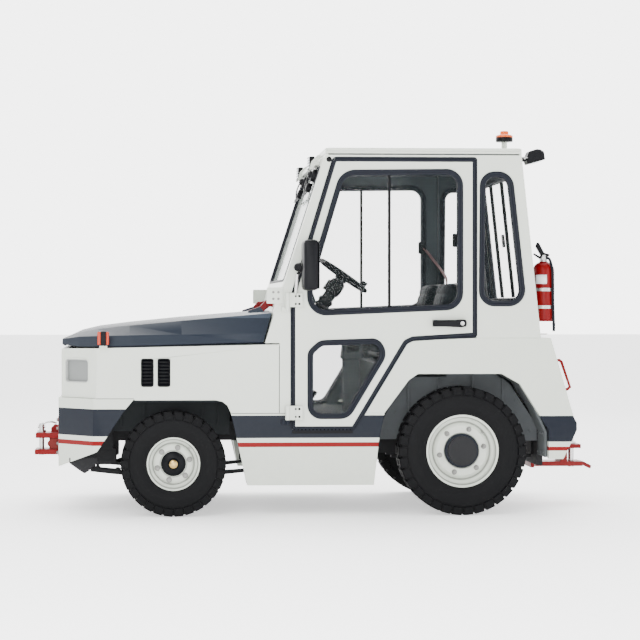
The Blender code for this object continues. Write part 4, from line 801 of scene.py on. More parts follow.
def make_rim(place, side, centre, bead, half, wheel):
    """Pressed steel rim, disc with nuts, hub and valve; profile heights point outwards."""
    axis = Matrix.Translation(centre) @ Matrix.Rotation(math.radians(90 if side < 0 else -90), 4, "X")
    edge = half * RIM_SHARE
    profile = [(bead - down, -edge + back) for down, back in wheel["rim_back"]]
    profile += [(bead - down, edge - back) for down, back in wheel["rim_face"]]
    work = bmesh.new()
    lathe(work, profile, 72, axis, closed=True)
    rim = piece(place + "_rim_look", finished_mesh(work, "rim", 35), wheel["rim_finish"],
                place + "_wheel")
    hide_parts(place + "_rim")
    face = edge - wheel["disc_depth"]
    hub = bmesh.new()
    lathe(hub, [(radius, face + out) for radius, out in wheel["hub"]], 48, axis)
    piece(place + "_hub", finished_mesh(hub, "hub"), wheel["hub_finish"], place + "_wheel")
    nuts = bmesh.new()

    def spot(radius, degrees, height):
        angle = math.radians(degrees)
        return centre + Vector((math.cos(angle) * radius, side * height, math.sin(angle) * radius))

    nut_ring, start = wheel["nut_ring"], wheel["first_nut"]
    for index in range(NUTS):
        degrees = start + 360 / NUTS * index
        # washer, nut and stud
        for low, high, radius, segments, end_radius in (
                (-0.001, 0.003, 0.015, 20, 0.013), (0.003, 0.016, 0.0105, 6, None),
                (0.016, 0.022, 0.006, 12, None)):
            rod(nuts, spot(nut_ring, degrees, face + low), spot(nut_ring, degrees, face + high),
                radius, segments, end_radius)
    for index in range(wheel["hub_bolts"]):
        degrees = 360 / wheel["hub_bolts"] * index
        rod(nuts, spot(0.070, degrees, face + 0.008), spot(0.070, degrees, face + 0.015), 0.0055, 6)
    # valve through a hole in the disc
    valve = spot(nut_ring + 0.026, start + 330, face - 0.006)
    rod(nuts, valve, valve + Vector((0, side, 0)) * 0.022, 0.0045, 10)
    piece(place + "_nuts", finished_mesh(nuts, "nuts", 30), "zinc", place + "_wheel")
    if wheel["cap"]:
        cap = bmesh.new()
        lathe(cap, [(radius, face + out) for radius, out in wheel["cap"]], 32, axis)
        piece(place + "_cap", finished_mesh(cap, "cap"), "gold", place + "_wheel")


def make_wheels():
    for place, wheel in (("front", FRONT_WHEEL), ("rear", REAR_WHEEL)):
        for name, side in SIDES:
            spot = place + "_" + name
            centre, bead, half = make_tyre(spot, wheel["blocks"], wheel["segments"])
            make_rim(spot, side, centre, bead, half, wheel)


# ---------------------------------------------------------------- carried-over shapes

def inside(centre, normal):
    """Faces of the cab's walls that look into the cab."""
    if centre.z < 0.50:
        return False
    return normal.y * centre.y < -0.5 * abs(centre.y) and abs(centre.y) < 0.665


def door_rule(centre, normal):
    out = abs(centre.y) - BODY
    if out > 0.0005 and centre.x > 0.5:
        return "black"
    if out > 0.004 and centre.z > 1.152:
        return "steel" if centre.z < 1.250 and out < 0.060 and centre.x < -0.125 else "black"
    return "lining" if inside(centre, normal) else None


def side_rule(centre, normal):
    return "lining" if inside(centre, normal) else None


def front_rule(centre, normal):
    if abs(abs(centre.y) - HINGE_ARM_Y) < 0.030 and centre.x < -0.220 and 1.07 < centre.z < 1.12:
        return "red"
    return "lining" if normal.x > 0.5 else None


def rear_rule(centre, normal):
    return "lining" if normal.x < -0.5 else None


def bonnet_rule(centre, normal):
    return "red" if centre.x > -0.380 and centre.z > 1.0635 else None


def fender_rule(centre, normal):
    if abs(centre.y) < BODY - PANEL + 0.0045:
        return "liner"
    return None


def panel_rule(centre, normal):
    if centre.x > tail(centre.z) + 0.004 and 0.60 < centre.z < 0.82:
        return "red"
    return None


def dress_panels():
    # node, finish, bevel, rule, slot
    table = [
        ("front_bumper", "cream_bumper", 0.006, None, "cream_paint"),
        ("wing_left", "cream", 0.004, None, "cream_paint"),
        ("wing_right", "cream", 0.004, None, "cream_paint"),
        ("headlight_left", "tray", 0.001, None, "grey_trim"),
        ("headlight_right", "tray", 0.001, None, "grey_trim"),
        ("nose_grille", "navy", 0.002, None, "navy_paint"),
        ("cab_side_left", "cream", 0.004, side_rule, "cream_paint"),
        ("cab_side_right", "cream", 0.004, side_rule, "cream_paint"),
        ("cab_front", "cream", 0.003, front_rule, "cream_paint"),
        ("cab_rear", "cream", 0.004, rear_rule, "cream_paint"),
        ("side_box_left", "cream_side", 0.004, None, "cream_paint"),
        ("side_box_right", "cream_side", 0.004, None, "cream_paint"),
        ("rear_fender_left", "cream_rear", 0.004, fender_rule, "cream_paint"),
        ("rear_fender_right", "cream_rear", 0.004, fender_rule, "cream_paint"),
        ("rear_panel", "cream_rear", 0.003, panel_rule, "cream_paint"),
        ("front_coupler", "red", 0.003, None, "red_paint"),
        ("rear_coupler", "red", 0.003, None, "red_paint"),
    ]
    for node, finish, bevel, rule, slot in table:
        dressed(node, finish, "root", bevel, rule)
    dressed("bonnet", "bonnet", "bonnet_lid", 0.003, bonnet_rule, 18)
    for name, _ in SIDES:
        dressed("door_" + name, "cream", name + "_door", 0.003, door_rule)
    kept = {
        "chassis_frame": "frame", "front_axle": "iron", "rear_axle": "iron", "engine_block": "iron",
        "knuckle_left": "iron", "knuckle_right": "iron", "tie_rod": "iron", "roof": "cream",
        "cab_floor": "mat", "seat_base": "trim", "dashboard": "trim", "steering_wheel": "black",
        "front_coupler_pin": "steel", "rear_coupler_pin": "steel",
    }
    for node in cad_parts:
        if "window" in node or node == "windscreen":
            kept[node] = "screen_glass" if node == "windscreen" else "glass"
    for node, finish in kept.items():
        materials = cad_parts[node].data.materials
        materials.clear()
        materials.append(F[finish])


# ---------------------------------------------------------------- small shapes

def plate(work, outline, low, high, place, edge=0.002):
    """A flat outline given thickness from low to high, its rims eased by edge."""
    edge = min(edge, (high - low) * 0.45)
    levels = [(-edge, low), (0.0, low + edge), (0.0, high - edge), (-edge, high)]
    loops = [[work.verts.new(place(u, v, height)) for u, v in offset(outline, grow)]
             for grow, height in levels]
    count = len(outline)
    for first, second in zip(loops, loops[1:]):
        for step in range(count):
            after = (step + 1) % count
            work.faces.new((first[step], first[after], second[after], second[step]))
    work.faces.new(loops[0][::-1])
    work.faces.new(loops[-1])


def rectangle(u0, v0, u1, v1, radius=0.004, steps=4):
    return rounded([(u0, v0, radius), (u1, v0, radius), (u1, v1, radius), (u0, v1, radius)], steps)


def lying(side=1):
    """Outlines drawn in X and Z, thickness along Y."""
    return lambda u, v, height: (u, side * height, v)


def facing_x(u, v, height):
    """Outlines drawn in Y and Z, thickness along X."""
    return (height, u, v)


def flat(u, v, height):
    return (u, v, height)


def add(name, work, finish, body="root", angle=35):
    return piece(name, finished_mesh(work, name, angle), finish, body)


def chamfer_frame(side):
    """Slanted corner face of the nose: local X along it, Y inwards, Z up."""
    start = Vector((-1.350, side * 0.500, 0.0))
    end = Vector((-1.165, side * 0.700, 0.0))
    along = (end - start).normalized()
    inward = Vector((along.y, -along.x, 0.0)) * side
    middle = (start + end) / 2 + Vector((0, 0, 0.749))
    turn = Matrix((along, inward, Vector((0, 0, 1)))).transposed().to_4x4()
    return Matrix.Translation(middle) @ turn


SCREEN_OUT = Vector((-1.0, 0.0, SCREEN_RAKE)).normalized()


def screen(y, z, out=0.0):
    """A point on the outer face of the windscreen's frame, moved out from it."""
    foot_x, foot_z = SCREEN_FOOT
    return Vector((foot_x + (z - foot_z) * SCREEN_RAKE, y, z)) + SCREEN_OUT * out


def rear_wall(z):
    """X of the rear wall's outer face."""
    return REAR_WALL_X + (z - BELT_Z) * REAR_RAKE


def tail(z):
    """X of the rear panel's outer face."""
    return TAIL_X + (z - BELT_Z) * TAIL_RAKE


# ---------------------------------------------------------------- nose

def make_vents(name, side):
    """Vents: dark pan with tilted slats."""
    place = on_side(side)
    work = bmesh.new()
    slats = bmesh.new()
    for x0, x1 in ((-0.934, -0.875), (-0.850, -0.790)):
        plate(work, rectangle(x0 + 0.0005, 0.6725, x1 - 0.0005, 0.8105, 0.006), -0.0195, -0.0165,
              place)
        ring_section(work, rectangle(x0, 0.672, x1, 0.811, 0.010),
                     [(0.003, 0.0005), (0.002, 0.0025), (-0.002, 0.002), (-0.003, -0.001),
                      (-0.003, -0.016), (-0.0005, -0.016), (-0.0005, 0.0005)], place)
        pitch = 0.139 / 8
        for row in range(8):
            z = 0.672 + pitch * (row + 0.5)
            turn = Matrix.Translation((0, side * (BODY - 0.008), z)) @ Matrix.Rotation(
                math.radians(-35 * side), 4, "X")
            block(slats, (x0 + 0.003, -0.008, -0.0014), (x1 - 0.003, 0.008, 0.0014), turn)
    add("vent_pans_" + name, work, "black")
    bevelled(add("vent_slats_" + name, slats, "black"), 0.0008, 2)


def make_panel_seams(name, side):
    """Seams between the nose panels."""
    place = on_side(side)
    work = bmesh.new()
    for x0, z0, x1, z1 in ((-1.163, 0.6078, -0.973, 0.6104), (-0.476, 0.5318, -0.172, 0.5346),
                           (-0.2316, 0.536, -0.2290, 0.882)):
        plate(work, rectangle(x0, z0, x1, z1, 0.0008, 2), -0.002, 0.0007, place, 0.0003)
    add("panel_seams_" + name, work, "seal")


def make_wing_lip(name, side):
    """Bright lip along the top of the wing, rubber under the bonnet."""
    place = on_side(side)
    work = bmesh.new()
    lip = [(-1.165, 0.8600), (-0.232, 0.8800), (-0.232, 0.8856), (-1.165, 0.8656)]
    plate(work, lip, -0.006, 0.0022, place, 0.001)
    add("wing_lip_" + name, work, "cream")
    work = bmesh.new()
    strip = [(-1.160, 0.8662), (-0.270, 0.8852), (-0.270, 0.8905), (-1.160, 0.8730)]
    plate(work, strip, -0.032, -0.0095, place, 0.001)
    add("bonnet_rubber_" + name, work, "seal")


def make_headlamp(name, side):
    """Lamp: rim round the opening and fluted cover."""
    frame_matrix = chamfer_frame(side)

    def on_chamfer(u, v, height, matrix=frame_matrix):
        return matrix @ Vector((u, -height, v))

    work = bmesh.new()
    opening = rectangle(-0.106, -0.060, 0.076, 0.060, 0.020, 8)
    ring_section(work, opening, [(0.006, 0.0004), (0.005, 0.0022), (0.001, 0.0022),
                                 (-0.001, 0.000), (-0.001, -0.013), (-0.0004, -0.013),
                                 (-0.0004, 0.0004)], on_chamfer)
    add("lamp_rim_" + name, work, "cream")
    work = bmesh.new()
    cover = rectangle(-0.1045, -0.0585, 0.0745, 0.0585, 0.019, 8)
    plate(work, cover, -0.020, -0.014, on_chamfer, 0.002)
    add("lamp_cover_" + name, work, "frost")


def make_signal(name, side):
    """Turn signal standing beside the bonnet."""
    place = on_side(side)
    work = bmesh.new()
    plate(work, rectangle(-1.1395, 0.880, -1.1135, 0.953, 0.003), 0.003, 0.034, place, 0.002)
    add("signal_body_" + name, work, "black")
    work = bmesh.new()
    for x0, x1 in ((-1.157, -1.1395), (-1.1135, -1.099)):
        plate(work, rectangle(x0, 0.884, x1, 0.951, 0.005), 0.005, 0.033, place, 0.003)
    add("signal_lenses_" + name, work, "orange")
    work = bmesh.new()
    plate(work, rectangle(-1.148, 0.846, -1.108, 0.880, 0.003), 0.0, 0.003, place, 0.001)
    plate(work, rectangle(-1.144, 0.8765, -1.112, 0.880, 0.001), 0.0, 0.030, place, 0.001)
    for x in (-1.138, -1.118):
        bolt_head(work, (x, side * (BODY + 0.003), 0.858), (0, side, 0), 0.0035, 0.003)
    add("signal_bracket_" + name, work, "cream")


def make_front_arch(name, side):
    """Inner arch behind the front wheel, shackle lug and drag link."""
    work = bmesh.new()
    sheet = [(-1.120, 0.420), (-0.960, 0.420), (-0.860, 0.440), (-0.660, 0.440), (-0.520, 0.400),
             (-0.470, 0.400), (-0.470, 0.598), (-1.120, 0.598)]
    plate(work, sheet, 0.318, 0.321, lying(side), 0.001)
    plate(work, rectangle(-1.000, 0.318, -0.480, 0.655, 0.004), 0.5905, 0.5935,
          lambda u, v, height: (u, side * v, height), 0.001)
    for x in (-1.05, -0.93, -0.62, -0.54):
        plate(work, rectangle(x, 0.445, x + 0.012, 0.588, 0.002), 0.321, 0.333, lying(side), 0.001)
    # its darker lining colour is painted shade
    add("front_arch_lining_" + name, work, "painted_shade_liner")
    work = bmesh.new()
    lug = [(-1.306, 0.300), (-1.306, 0.272), (-1.250, 0.232, 0.012), (-1.228, 0.218, 0.012),
           (-1.206, 0.232, 0.012), (-1.163, 0.274), (-1.163, 0.300)]
    ring = rounded(lug)
    plate(work, ring, 0.560, 0.570, lying(side), 0.001)
    plate(work, rectangle(-1.262, 0.246, -1.068, 0.336, 0.008), 0.300, 0.343, lying(side), 0.004)
    plate(work, rectangle(-1.215, 0.330, -1.085, 0.450, 0.006), 0.380, 0.392, lying(side), 0.002)
    rod(work, (-1.2315, side * 0.559, 0.238), (-1.2315, side * 0.571, 0.238), 0.0125, 20)
    add("front_lug_" + name, work, "iron")
    work = bmesh.new()
    rod(work, (-1.165, side * DRAG_LINK_Y, 0.222), (-1.062, side * DRAG_LINK_Y, 0.212), 0.010, 14)
    for x, z in ((-1.168, 0.222), (-1.062, 0.212)):
        rod(work, (x, side * (DRAG_LINK_Y - 0.017), z), (x, side * (DRAG_LINK_Y + 0.017), z), 0.017, 20)
        rod(work, (x, side * (DRAG_LINK_Y - 0.023), z), (x, side * (DRAG_LINK_Y + 0.023), z), 0.007, 12)
    rod(work, (-1.168, side * DRAG_LINK_Y, 0.222), (-1.168, side * DRAG_LINK_Y, 0.262), 0.008, 12)
    add("drag_link_" + name, work, "iron")


def make_grille():
    """Grille slats and mesh behind them."""
    work = bmesh.new()
    for row in range(6):
        z = 0.636 + 0.038 * row
        plate(work, rectangle(-0.280, z - 0.003, 0.280, z + 0.011, 0.004), -1.3545, -1.3505, facing_x,
              0.0015)
    add("grille_bars", work, "black")
    work = bmesh.new()
    for step in range(27):
        y = -0.270 + 0.540 * step / 26
        block(work, (-1.3085, y - 0.0015, 0.640), (-1.3060, y + 0.0015, 0.850))
    for step in range(10):
        z = 0.645 + 0.022 * step
        block(work, (-1.3058, -0.272, z - 0.0015), (-1.3035, 0.272, z + 0.0015))
    add("grille_mesh", work, "iron")


def make_nose():
    for name, side in SIDES:
        make_vents(name, side)
        make_panel_seams(name, side)
        make_wing_lip(name, side)
        make_headlamp(name, side)
        make_signal(name, side)
        make_front_arch(name, side)
    make_grille()


# ---------------------------------------------------------------- doors, hinges, mirrors

def make_hinge_plates(name, side):
    """Hinge plates on the door, with their bolts."""
    door = name + "_door"
    place = on_side(side)
    work = bmesh.new()
    for z in HINGE_HEIGHTS:
        plate(work, rectangle(-0.168, z - 0.034, -0.113, z + 0.034, 0.004), 0.0182, 0.0212, place,
              0.001)
    add("hinge_plates_" + name, work, "cream", door)
    work = bmesh.new()
    for z in HINGE_HEIGHTS:
        for x, up in ((-0.150, 0.020), (-0.130, 0.020), (-0.150, -0.020), (-0.130, -0.020)):
            bolt_head(work, (x, side * (BODY + 0.0212), z + up), (0, side, 0), 0.0042, 0.0035)
    add("hinge_bolts_" + name, work, "black", door)


def make_cowl_plate(name, side):
    """Body side hinge plate with its bolts, on the cowl side."""
    place = on_side(side)
    work = bmesh.new()
    plate(work, rectangle(-0.296, 1.094, -0.212, 1.176, 0.006), 0.0005, 0.004, place, 0.001)
    add("cowl_plate_" + name, work, "cream")
    work = bmesh.new()
    for x, z in ((-0.262, 1.118), (-0.236, 1.118), (-0.262, 1.152), (-0.236, 1.152)):
        bolt_head(work, (x, side * (BODY + 0.004), z), (0, side, 0), 0.0045, 0.004)
    add("cowl_bolts_" + name, work, "zinc")


def make_handle(name, side):
    """Handle: flat bar, tapered to the front, with a round lock."""
    door = name + "_door"
    place = on_side(side)
    work = bmesh.new()
    bar = rounded([(0.554, 0.980, 0.006), (0.600, 0.977), (0.700, 0.972, 0.010),
                   (0.728, 0.978, 0.014), (0.728, 1.012, 0.014), (0.690, 1.013),
                   (0.600, 1.001), (0.554, 0.999, 0.006)], 5)
    plate(work, bar, 0.028, 0.040, place, 0.004)
    add("handle_bar_" + name, work, "black", door)
    work = bmesh.new()
    turn = Matrix.Translation((0.705, side * (BODY + 0.040), 0.993)) @ Matrix.Rotation(
        math.radians(-90 * side), 4, "X")
    lathe(work, [(0.0, 0.004), (0.004, 0.004), (0.0045, 0.0028), (0.0085, 0.0032),
                 (0.0105, 0.0015), (0.0105, -0.002)], 24, turn)
    add("handle_lock_" + name, work, "steel", door)


def make_slider_bars(name, side):
    """Sliding pane: its meeting bar."""
    door = name + "_door"
    work = bmesh.new()
    pane = BODY - PANEL / 2
    plate(work, rectangle(0.329, 1.060, 0.343, 1.766, 0.002), pane - 0.009, pane + 0.008,
          lying(side), 0.002)
    add("slider_bars_" + name, work, "black", door)


def make_mirror(name, side):
    """Mirror: glass to the rear, rubber edge, ball joint."""
    door = name + "_door"
    work = bmesh.new()
    outline = rectangle(side * 0.756, 1.172, side * 0.904, 1.403, 0.018, 6)
    plate(work, outline, -0.0455, -0.0430, facing_x, 0.0008)
    add("mirror_glass_" + name, work, "mirror", door)
    work = bmesh.new()
    ring_section(work, outline, [(0.004, -0.0452), (0.004, -0.0415), (0.000, -0.0405),
                                 (-0.003, -0.0425), (-0.003, -0.0452)], facing_x)
    add("mirror_edge_" + name, work, "black", door)
    work = bmesh.new()
    turn = Matrix.Translation((-0.138, side * 0.800, 1.278)) @ Matrix.Rotation(
        math.radians(-90), 4, "Y")
    lathe(work, [(0.0, 0.026), (0.008, 0.025), (0.016, 0.020), (0.021, 0.010), (0.022, 0.0),
                 (0.024, -0.004), (0.024, -0.012), (0.0, -0.012)], 28, turn)
    rod(work, (-0.132, side * 0.752, 1.275), (-0.132, side * 0.825, 1.275), 0.0105, 16)
    add("mirror_joint_" + name, work, "black", door)


def make_step(name, side):
    """Toothed step under the door."""
    place = on_side(side)
    work = bmesh.new()
    plate(work, rectangle(-0.166, 0.4300, 0.146, 0.4435, 0.002), 0.0004, 0.0035, place, 0.001)
    for step in range(16):
        x = -0.160 + 0.0192 * step
        tooth = [(x, 0.4435), (x + 0.0125, 0.4435), (x + 0.0095, 0.4515), (x + 0.003, 0.4515)]
        plate(work, tooth, 0.0004, 0.0035, place, 0.0008)
    add("step_teeth_" + name, work, "black")


def make_door_fittings():
    for name, side in SIDES:
        make_hinge_plates(name, side)
        make_cowl_plate(name, side)
        make_handle(name, side)
        make_slider_bars(name, side)
        make_mirror(name, side)
        make_step(name, side)


# ---------------------------------------------------------------- roof and screen

def make_drip_rail():
    """Drip rail along both sides of the roof, with a dark strip under it that is a seal and also painted
    shadow of the roof's edge.
    """
    work = bmesh.new()
    lip = bmesh.new()
    for _, side in SIDES:
        place = on_side(side)
        # dark strip under the roof's edge: a seal, and also painted shadow under the roof's edge
        plate(work, rectangle(0.020, 1.8560, 1.006, 1.8610, 0.002), -0.002, 0.0022, place, 0.001)
        plate(lip, rounded([(0.012, 1.8635, 0.003), (1.012, 1.8635, 0.003), (1.016, 1.874, 0.004),
                            (0.016, 1.874, 0.004)]), -0.004, 0.0065, place, 0.003)
    add("drip_seal_and_painted_shadow", work, "seal")
    add("drip_lip", lip, "cream")


def make_roof_plugs():
    """Round plugs at the front corners of the roof."""
    work = bmesh.new()
    for _, side in SIDES:
        turn = Matrix.Translation((0.024, side * BODY, 1.832)) @ Matrix.Rotation(
            math.radians(-90 * side), 4, "X")
        lathe(work, [(0.0, 0.0045), (0.007, 0.004), (0.0125, 0.0022), (0.0140, 0.0003),
                     (0.0140, -0.002)], 28, turn)
    add("roof_plugs", work, "black")


def make_lamp_bar():
    """Bar, visor plates, lamps."""
    bar_z = 1.826
    skin = screen(0.0, bar_z - 0.012).x - 0.0003
    work = bmesh.new()
    profile = rectangle(skin - 0.029, bar_z - 0.011, skin - 0.0005, bar_z + 0.011, 0.004)
    plate(work, profile, -0.519, 0.519, lying(), 0.002)
    for _, side in SIDES:
        for y in (0.340, 0.460, 0.512):
            visor = rounded([(0.004, 1.8645, 0.003), (-0.020, 1.868, 0.006), (-0.048, 1.838, 0.010),
                             (-0.060, 1.796, 0.004), (-0.050, 1.793, 0.004), (-0.030, 1.815),
                             (-0.012, 1.842), (-0.003, 1.852)], 4)
            low, high = sorted((side * y, side * (y + 0.005)))
            plate(work, visor, low, high, lying(), 0.001)
    bar = add("lamp_bar", work, "cream")
    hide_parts("work_light_bar")
    work = bmesh.new()
    glass_work = bmesh.new()
    bolts = bmesh.new()
    for _, side in SIDES:
        y = side * 0.400
        low, high = sorted((y - 0.043, y + 0.043))
        body = rounded([(skin - 0.046, 1.797, 0.004), (skin - 0.022, 1.797, 0.004),
                        (skin - 0.016, 1.810, 0.004), (skin - 0.016, 1.856, 0.004),
                        (skin - 0.022, 1.867, 0.004), (skin - 0.046, 1.867, 0.004)], 3)
        plate(work, body, low, high, lying(), 0.003)
        for row in range(5):
            z = 1.803 + 0.0145 * row
            plate(work, rectangle(skin - 0.0540, z - 0.0012, skin - 0.0440, z + 0.0012, 0.0008, 2),
                  low + 0.001, high - 0.001, lying(), 0.0005)
        plate(glass_work, rectangle(y - 0.037, 1.803, y + 0.037, 1.861, 0.006), skin - 0.0515,
              skin - 0.0455, facing_x, 0.0015)
        rod(bolts, (skin - 0.024, low - 0.006, 1.800), (skin - 0.024, high + 0.006, 1.800), 0.0085, 18)
    add("front_lamps", work, "black")
    add("front_lamp_glass", glass_work, "clear")
    add("front_lamp_bolts", bolts, "steel")


def make_windscreen_rubber():
    """Windscreen rubber."""
    work = bmesh.new()
    wide = 0.6097
    outline = rounded([(-wide, 1.214, 0.040), (wide, 1.214, 0.040), (wide, 1.802, 0.040),
                       (-wide, 1.802, 0.040)])
    ring_section(work, outline, [(0.006, 0.0004), (0.005, 0.003), (-0.001, 0.004), (-0.006, 0.001),
                                 (-0.010, -0.006), (-0.010, -0.015), (-0.001, -0.015),
                                 (-0.001, 0.0004)], screen)
    add("windscreen_rubber", work, "seal")


def make_wipers():
    """Wipers with their motors, arms and blades."""
    motors = bmesh.new()
    arms = bmesh.new()
    blades = bmesh.new()
    facing = SCREEN_OUT.to_track_quat("Z", "Y").to_matrix().to_4x4()
    sweep = 0.26
    for y in (-0.480, 0.130):
        turn = Matrix.Translation(screen(y, 1.760, -0.004)) @ facing
        lathe(motors, [(0.0, 0.046), (0.010, 0.046), (0.018, 0.041), (0.020, 0.030), (0.030, 0.026),
                       (0.033, 0.020), (0.033, 0.006), (0.038, 0.004), (0.038, 0.0)], 30, turn)
        lathe(motors, [(0.0, 0.030), (0.020, 0.028), (0.026, 0.020), (0.026, 0.0)], 24,
              Matrix.Translation(screen(y + 0.070, 1.700, 0.0)) @ facing)
        bolt_head(motors, screen(y + 0.030, 1.785, 0.003), SCREEN_OUT, 0.005, 0.005)
        # arms parked across the top of the screen
        start = screen(y, 1.760, 0.034)
        elbow = screen(y + 0.060, 1.735, 0.036)
        end = screen(y + sweep, 1.690, 0.018)
        pipe(arms, curved([start, elbow, (elbow + end) / 2 + SCREEN_OUT * 0.004, end], 5), 0.0045, 8)
        rod(arms, screen(y, 1.760, 0.028), screen(y, 1.760, 0.044), 0.010, 18)
        for across in (-0.006, 0.006):
            first = screen(y + sweep - 0.210, 1.693 + across, 0.011)
            last = screen(y + sweep + 0.210, 1.681 + across, 0.011)
            pipe(blades, [first, (first + last) / 2 + SCREEN_OUT * 0.004, last], 0.0028, 6)
        rod(blades, screen(y + sweep - 0.210, 1.693, 0.0045), screen(y + sweep + 0.210, 1.681, 0.0045),
            0.0035, 6)
    add("wiper_motors", motors, "black")
    add("wiper_arms", arms, "black")
    add("wiper_blades", blades, "seal")


def make_rear_window_trim():
    """Rear window rubber, meeting bars and catch."""
    work = bmesh.new()

    def on_rear(u, v, height):
        return (rear_wall(v) + height, u, v)

    outline = rounded([(-0.500, 1.110, 0.050), (0.500, 1.110, 0.050), (0.500, 1.770, 0.050),
                       (-0.500, 1.770, 0.050)])
    ring_section(work, outline, [(0.012, 0.0004), (0.011, 0.005), (0.002, 0.009), (-0.010, 0.004),
                                 (-0.016, -0.002), (-0.016, -0.0165), (-0.001, -0.0165),
                                 (-0.001, 0.0004)], on_rear)
    ring_section(work, outline, [(0.012, -0.0405), (0.011, -0.045), (-0.012, -0.045),
                                 (-0.016, -0.036), (-0.016, -0.0235), (-0.001, -0.0235),
                                 (-0.001, -0.0405)], on_rear)
    add("rear_window_rubber", work, "seal")
    work = bmesh.new()
    for y in (-0.165, 0.165):
        plate(work, rectangle(y - 0.008, 1.128, y + 0.008, 1.752, 0.002), -0.030, -0.012, on_rear,
              0.002)
    plate(work, rectangle(-0.145, 1.400, -0.095, 1.470, 0.006), -0.040, -0.030, on_rear, 0.003)
    add("rear_slider_bars", work, "black")


def make_roof_fittings():
    make_drip_rail()
    make_roof_plugs()
    make_lamp_bar()
    make_windscreen_rubber()
    make_wipers()
    make_rear_window_trim()


# ---------------------------------------------------------------- beacon, rear lamp, extinguisher

def make_beacon():
    x, y, base = BEACON
    place = Matrix.Translation((x, y, 0))
    work = bmesh.new()
    plate(work, rectangle(x - 0.036, y - 0.030, x + 0.022, y + 0.030, 0.006), base, base + 0.005, flat,
          0.001)
    plate(work, rectangle(y - 0.022, base, y + 0.022, 1.960, 0.006), x - 0.004, x + 0.002, facing_x,
          0.001)
    rod(work, (x, y, base), (x, y, 1.961), 0.0150, 20)
    add("beacon_stand", work, "cream")
    work = bmesh.new()
    lathe(work, [(0.0, 1.9825), (0.0435, 1.9825), (0.0455, 1.979), (0.0455, 1.968), (0.044, 1.959),
                 (0.0, 1.9575)], 40, place)
    add("beacon_base", work, "black")
    work = bmesh.new()
    profile = [(0.0, 2.0178), (0.012, 2.0175), (0.0205, 2.0155), (0.0225, 2.011), (0.0230, 1.9995),
               (0.0300, 1.9975), (0.0400, 1.9950), (0.0440, 1.9905), (0.0445, 1.9828), (0.0, 1.9828)]
    lathe(work, profile, 40, place)
    lens_piece = add("beacon_lens", work, "amber")
    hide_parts("beacon")
    ribs = bmesh.new()
    for step in range(20):
        angle = 2 * math.pi * step / 20
        spot = Vector((x + 0.0442 * math.cos(angle), y + 0.0442 * math.sin(angle), 1.983))
        rod(ribs, spot, spot + Vector((0, 0, 0.0085)), 0.0012, 6)
    add("beacon_ribs", ribs, "amber")


def make_rear_lamp():
    work = bmesh.new()
    shell = rounded([(1.0605, 1.8435, 0.006), (1.0725, 1.8190, 0.004), (1.1615, 1.8440, 0.004),
                     (1.1555, 1.8835, 0.010), (1.1380, 1.8955, 0.010), (1.1190, 1.8985, 0.010),
                     (1.0785, 1.8865, 0.010)], 5)
    plate(work, shell, -0.599, -0.501, lying(), 0.006)
    for row in range(4):
        z = 1.852 + 0.009 * row
        plate(work, rectangle(1.0900, z, 1.1500 - 0.002 * row, z + 0.003, 0.001, 2), -0.5998, -0.5985,
              lying(), 0.0003)
    block(work, (1.020, -0.565, 1.8355), (1.078, -0.535, 1.8575))
    block(work, (1.0215, -0.580, 1.800), (1.0255, -0.520, 1.8575),
          Matrix.Translation((1.0215, 0, 1.8)) @ Matrix.Rotation(-0.107, 4, "Y")
          @ Matrix.Translation((-1.0215, 0, -1.8)))
    lamp = add("rear_lamp", work, "black")
    bevelled(lamp, 0.002)
    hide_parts("rear_work_light")
    work = bmesh.new()
    turn = Matrix.Translation((1.062, 0, 1.852))
    rod(work, turn @ Vector((0, -0.572, 0)), turn @ Vector((0, -0.528, 0)), 0.009, 18)
    rod(work, turn @ Vector((0, -0.606, 0.0)), turn @ Vector((0, -0.494, 0.0)), 0.0042, 12)
    add("rear_lamp_bolt", work, "steel")
    work = bmesh.new()
    slope = math.atan2(0.0250, 0.0890)
    down = Matrix.Translation((1.117, -0.550, 1.8305)) @ Matrix.Rotation(-slope, 4, "Y")
    lathe(work, [(0.0, -0.0035), (0.018, -0.0032), (0.032, -0.0015), (0.036, 0.001), (0.036, 0.006)],
          32, down)
    add("rear_lamp_glass", work, "clear")


def make_bottle():
    """Bottle."""
    x, y, foot = EXTINGUISHER
    place = Matrix.Translation((x, y, foot))
    work = bmesh.new()
    lathe(work, [(0.0, 0.318), (0.020, 0.318), (0.024, 0.314), (0.036, 0.308), (0.047, 0.298),
                 (0.0545, 0.284), (0.057, 0.270), (0.057, 0.016), (0.0562, 0.012), (0.0535, 0.010),
                 (0.0535, 0.002), (0.050, 0.0), (0.0, 0.004)], 48, place)
    bottle = add("extinguisher_bottle", work, "red")
    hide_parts("extinguisher")


def make_valve():
    """Valve with its gauge."""
    x, y, foot = EXTINGUISHER
    place = Matrix.Translation((x, y, foot))
    work = bmesh.new()
    lathe(work, [(0.0, 0.352), (0.013, 0.352), (0.015, 0.346), (0.015, 0.334), (0.021, 0.332),
                 (0.021, 0.317), (0.0, 0.317)], 24, place)
    gauge = place @ Matrix.Translation((-0.006, 0, 0.334)) @ Matrix.Rotation(math.radians(90), 4, "X")
    lathe(work, [(0.0, 0.030), (0.0105, 0.030), (0.0125, 0.028), (0.0125, 0.020), (0.004, 0.018),
                 (0.004, 0.0)], 24, gauge)
    add("extinguisher_valve", work, "steel")


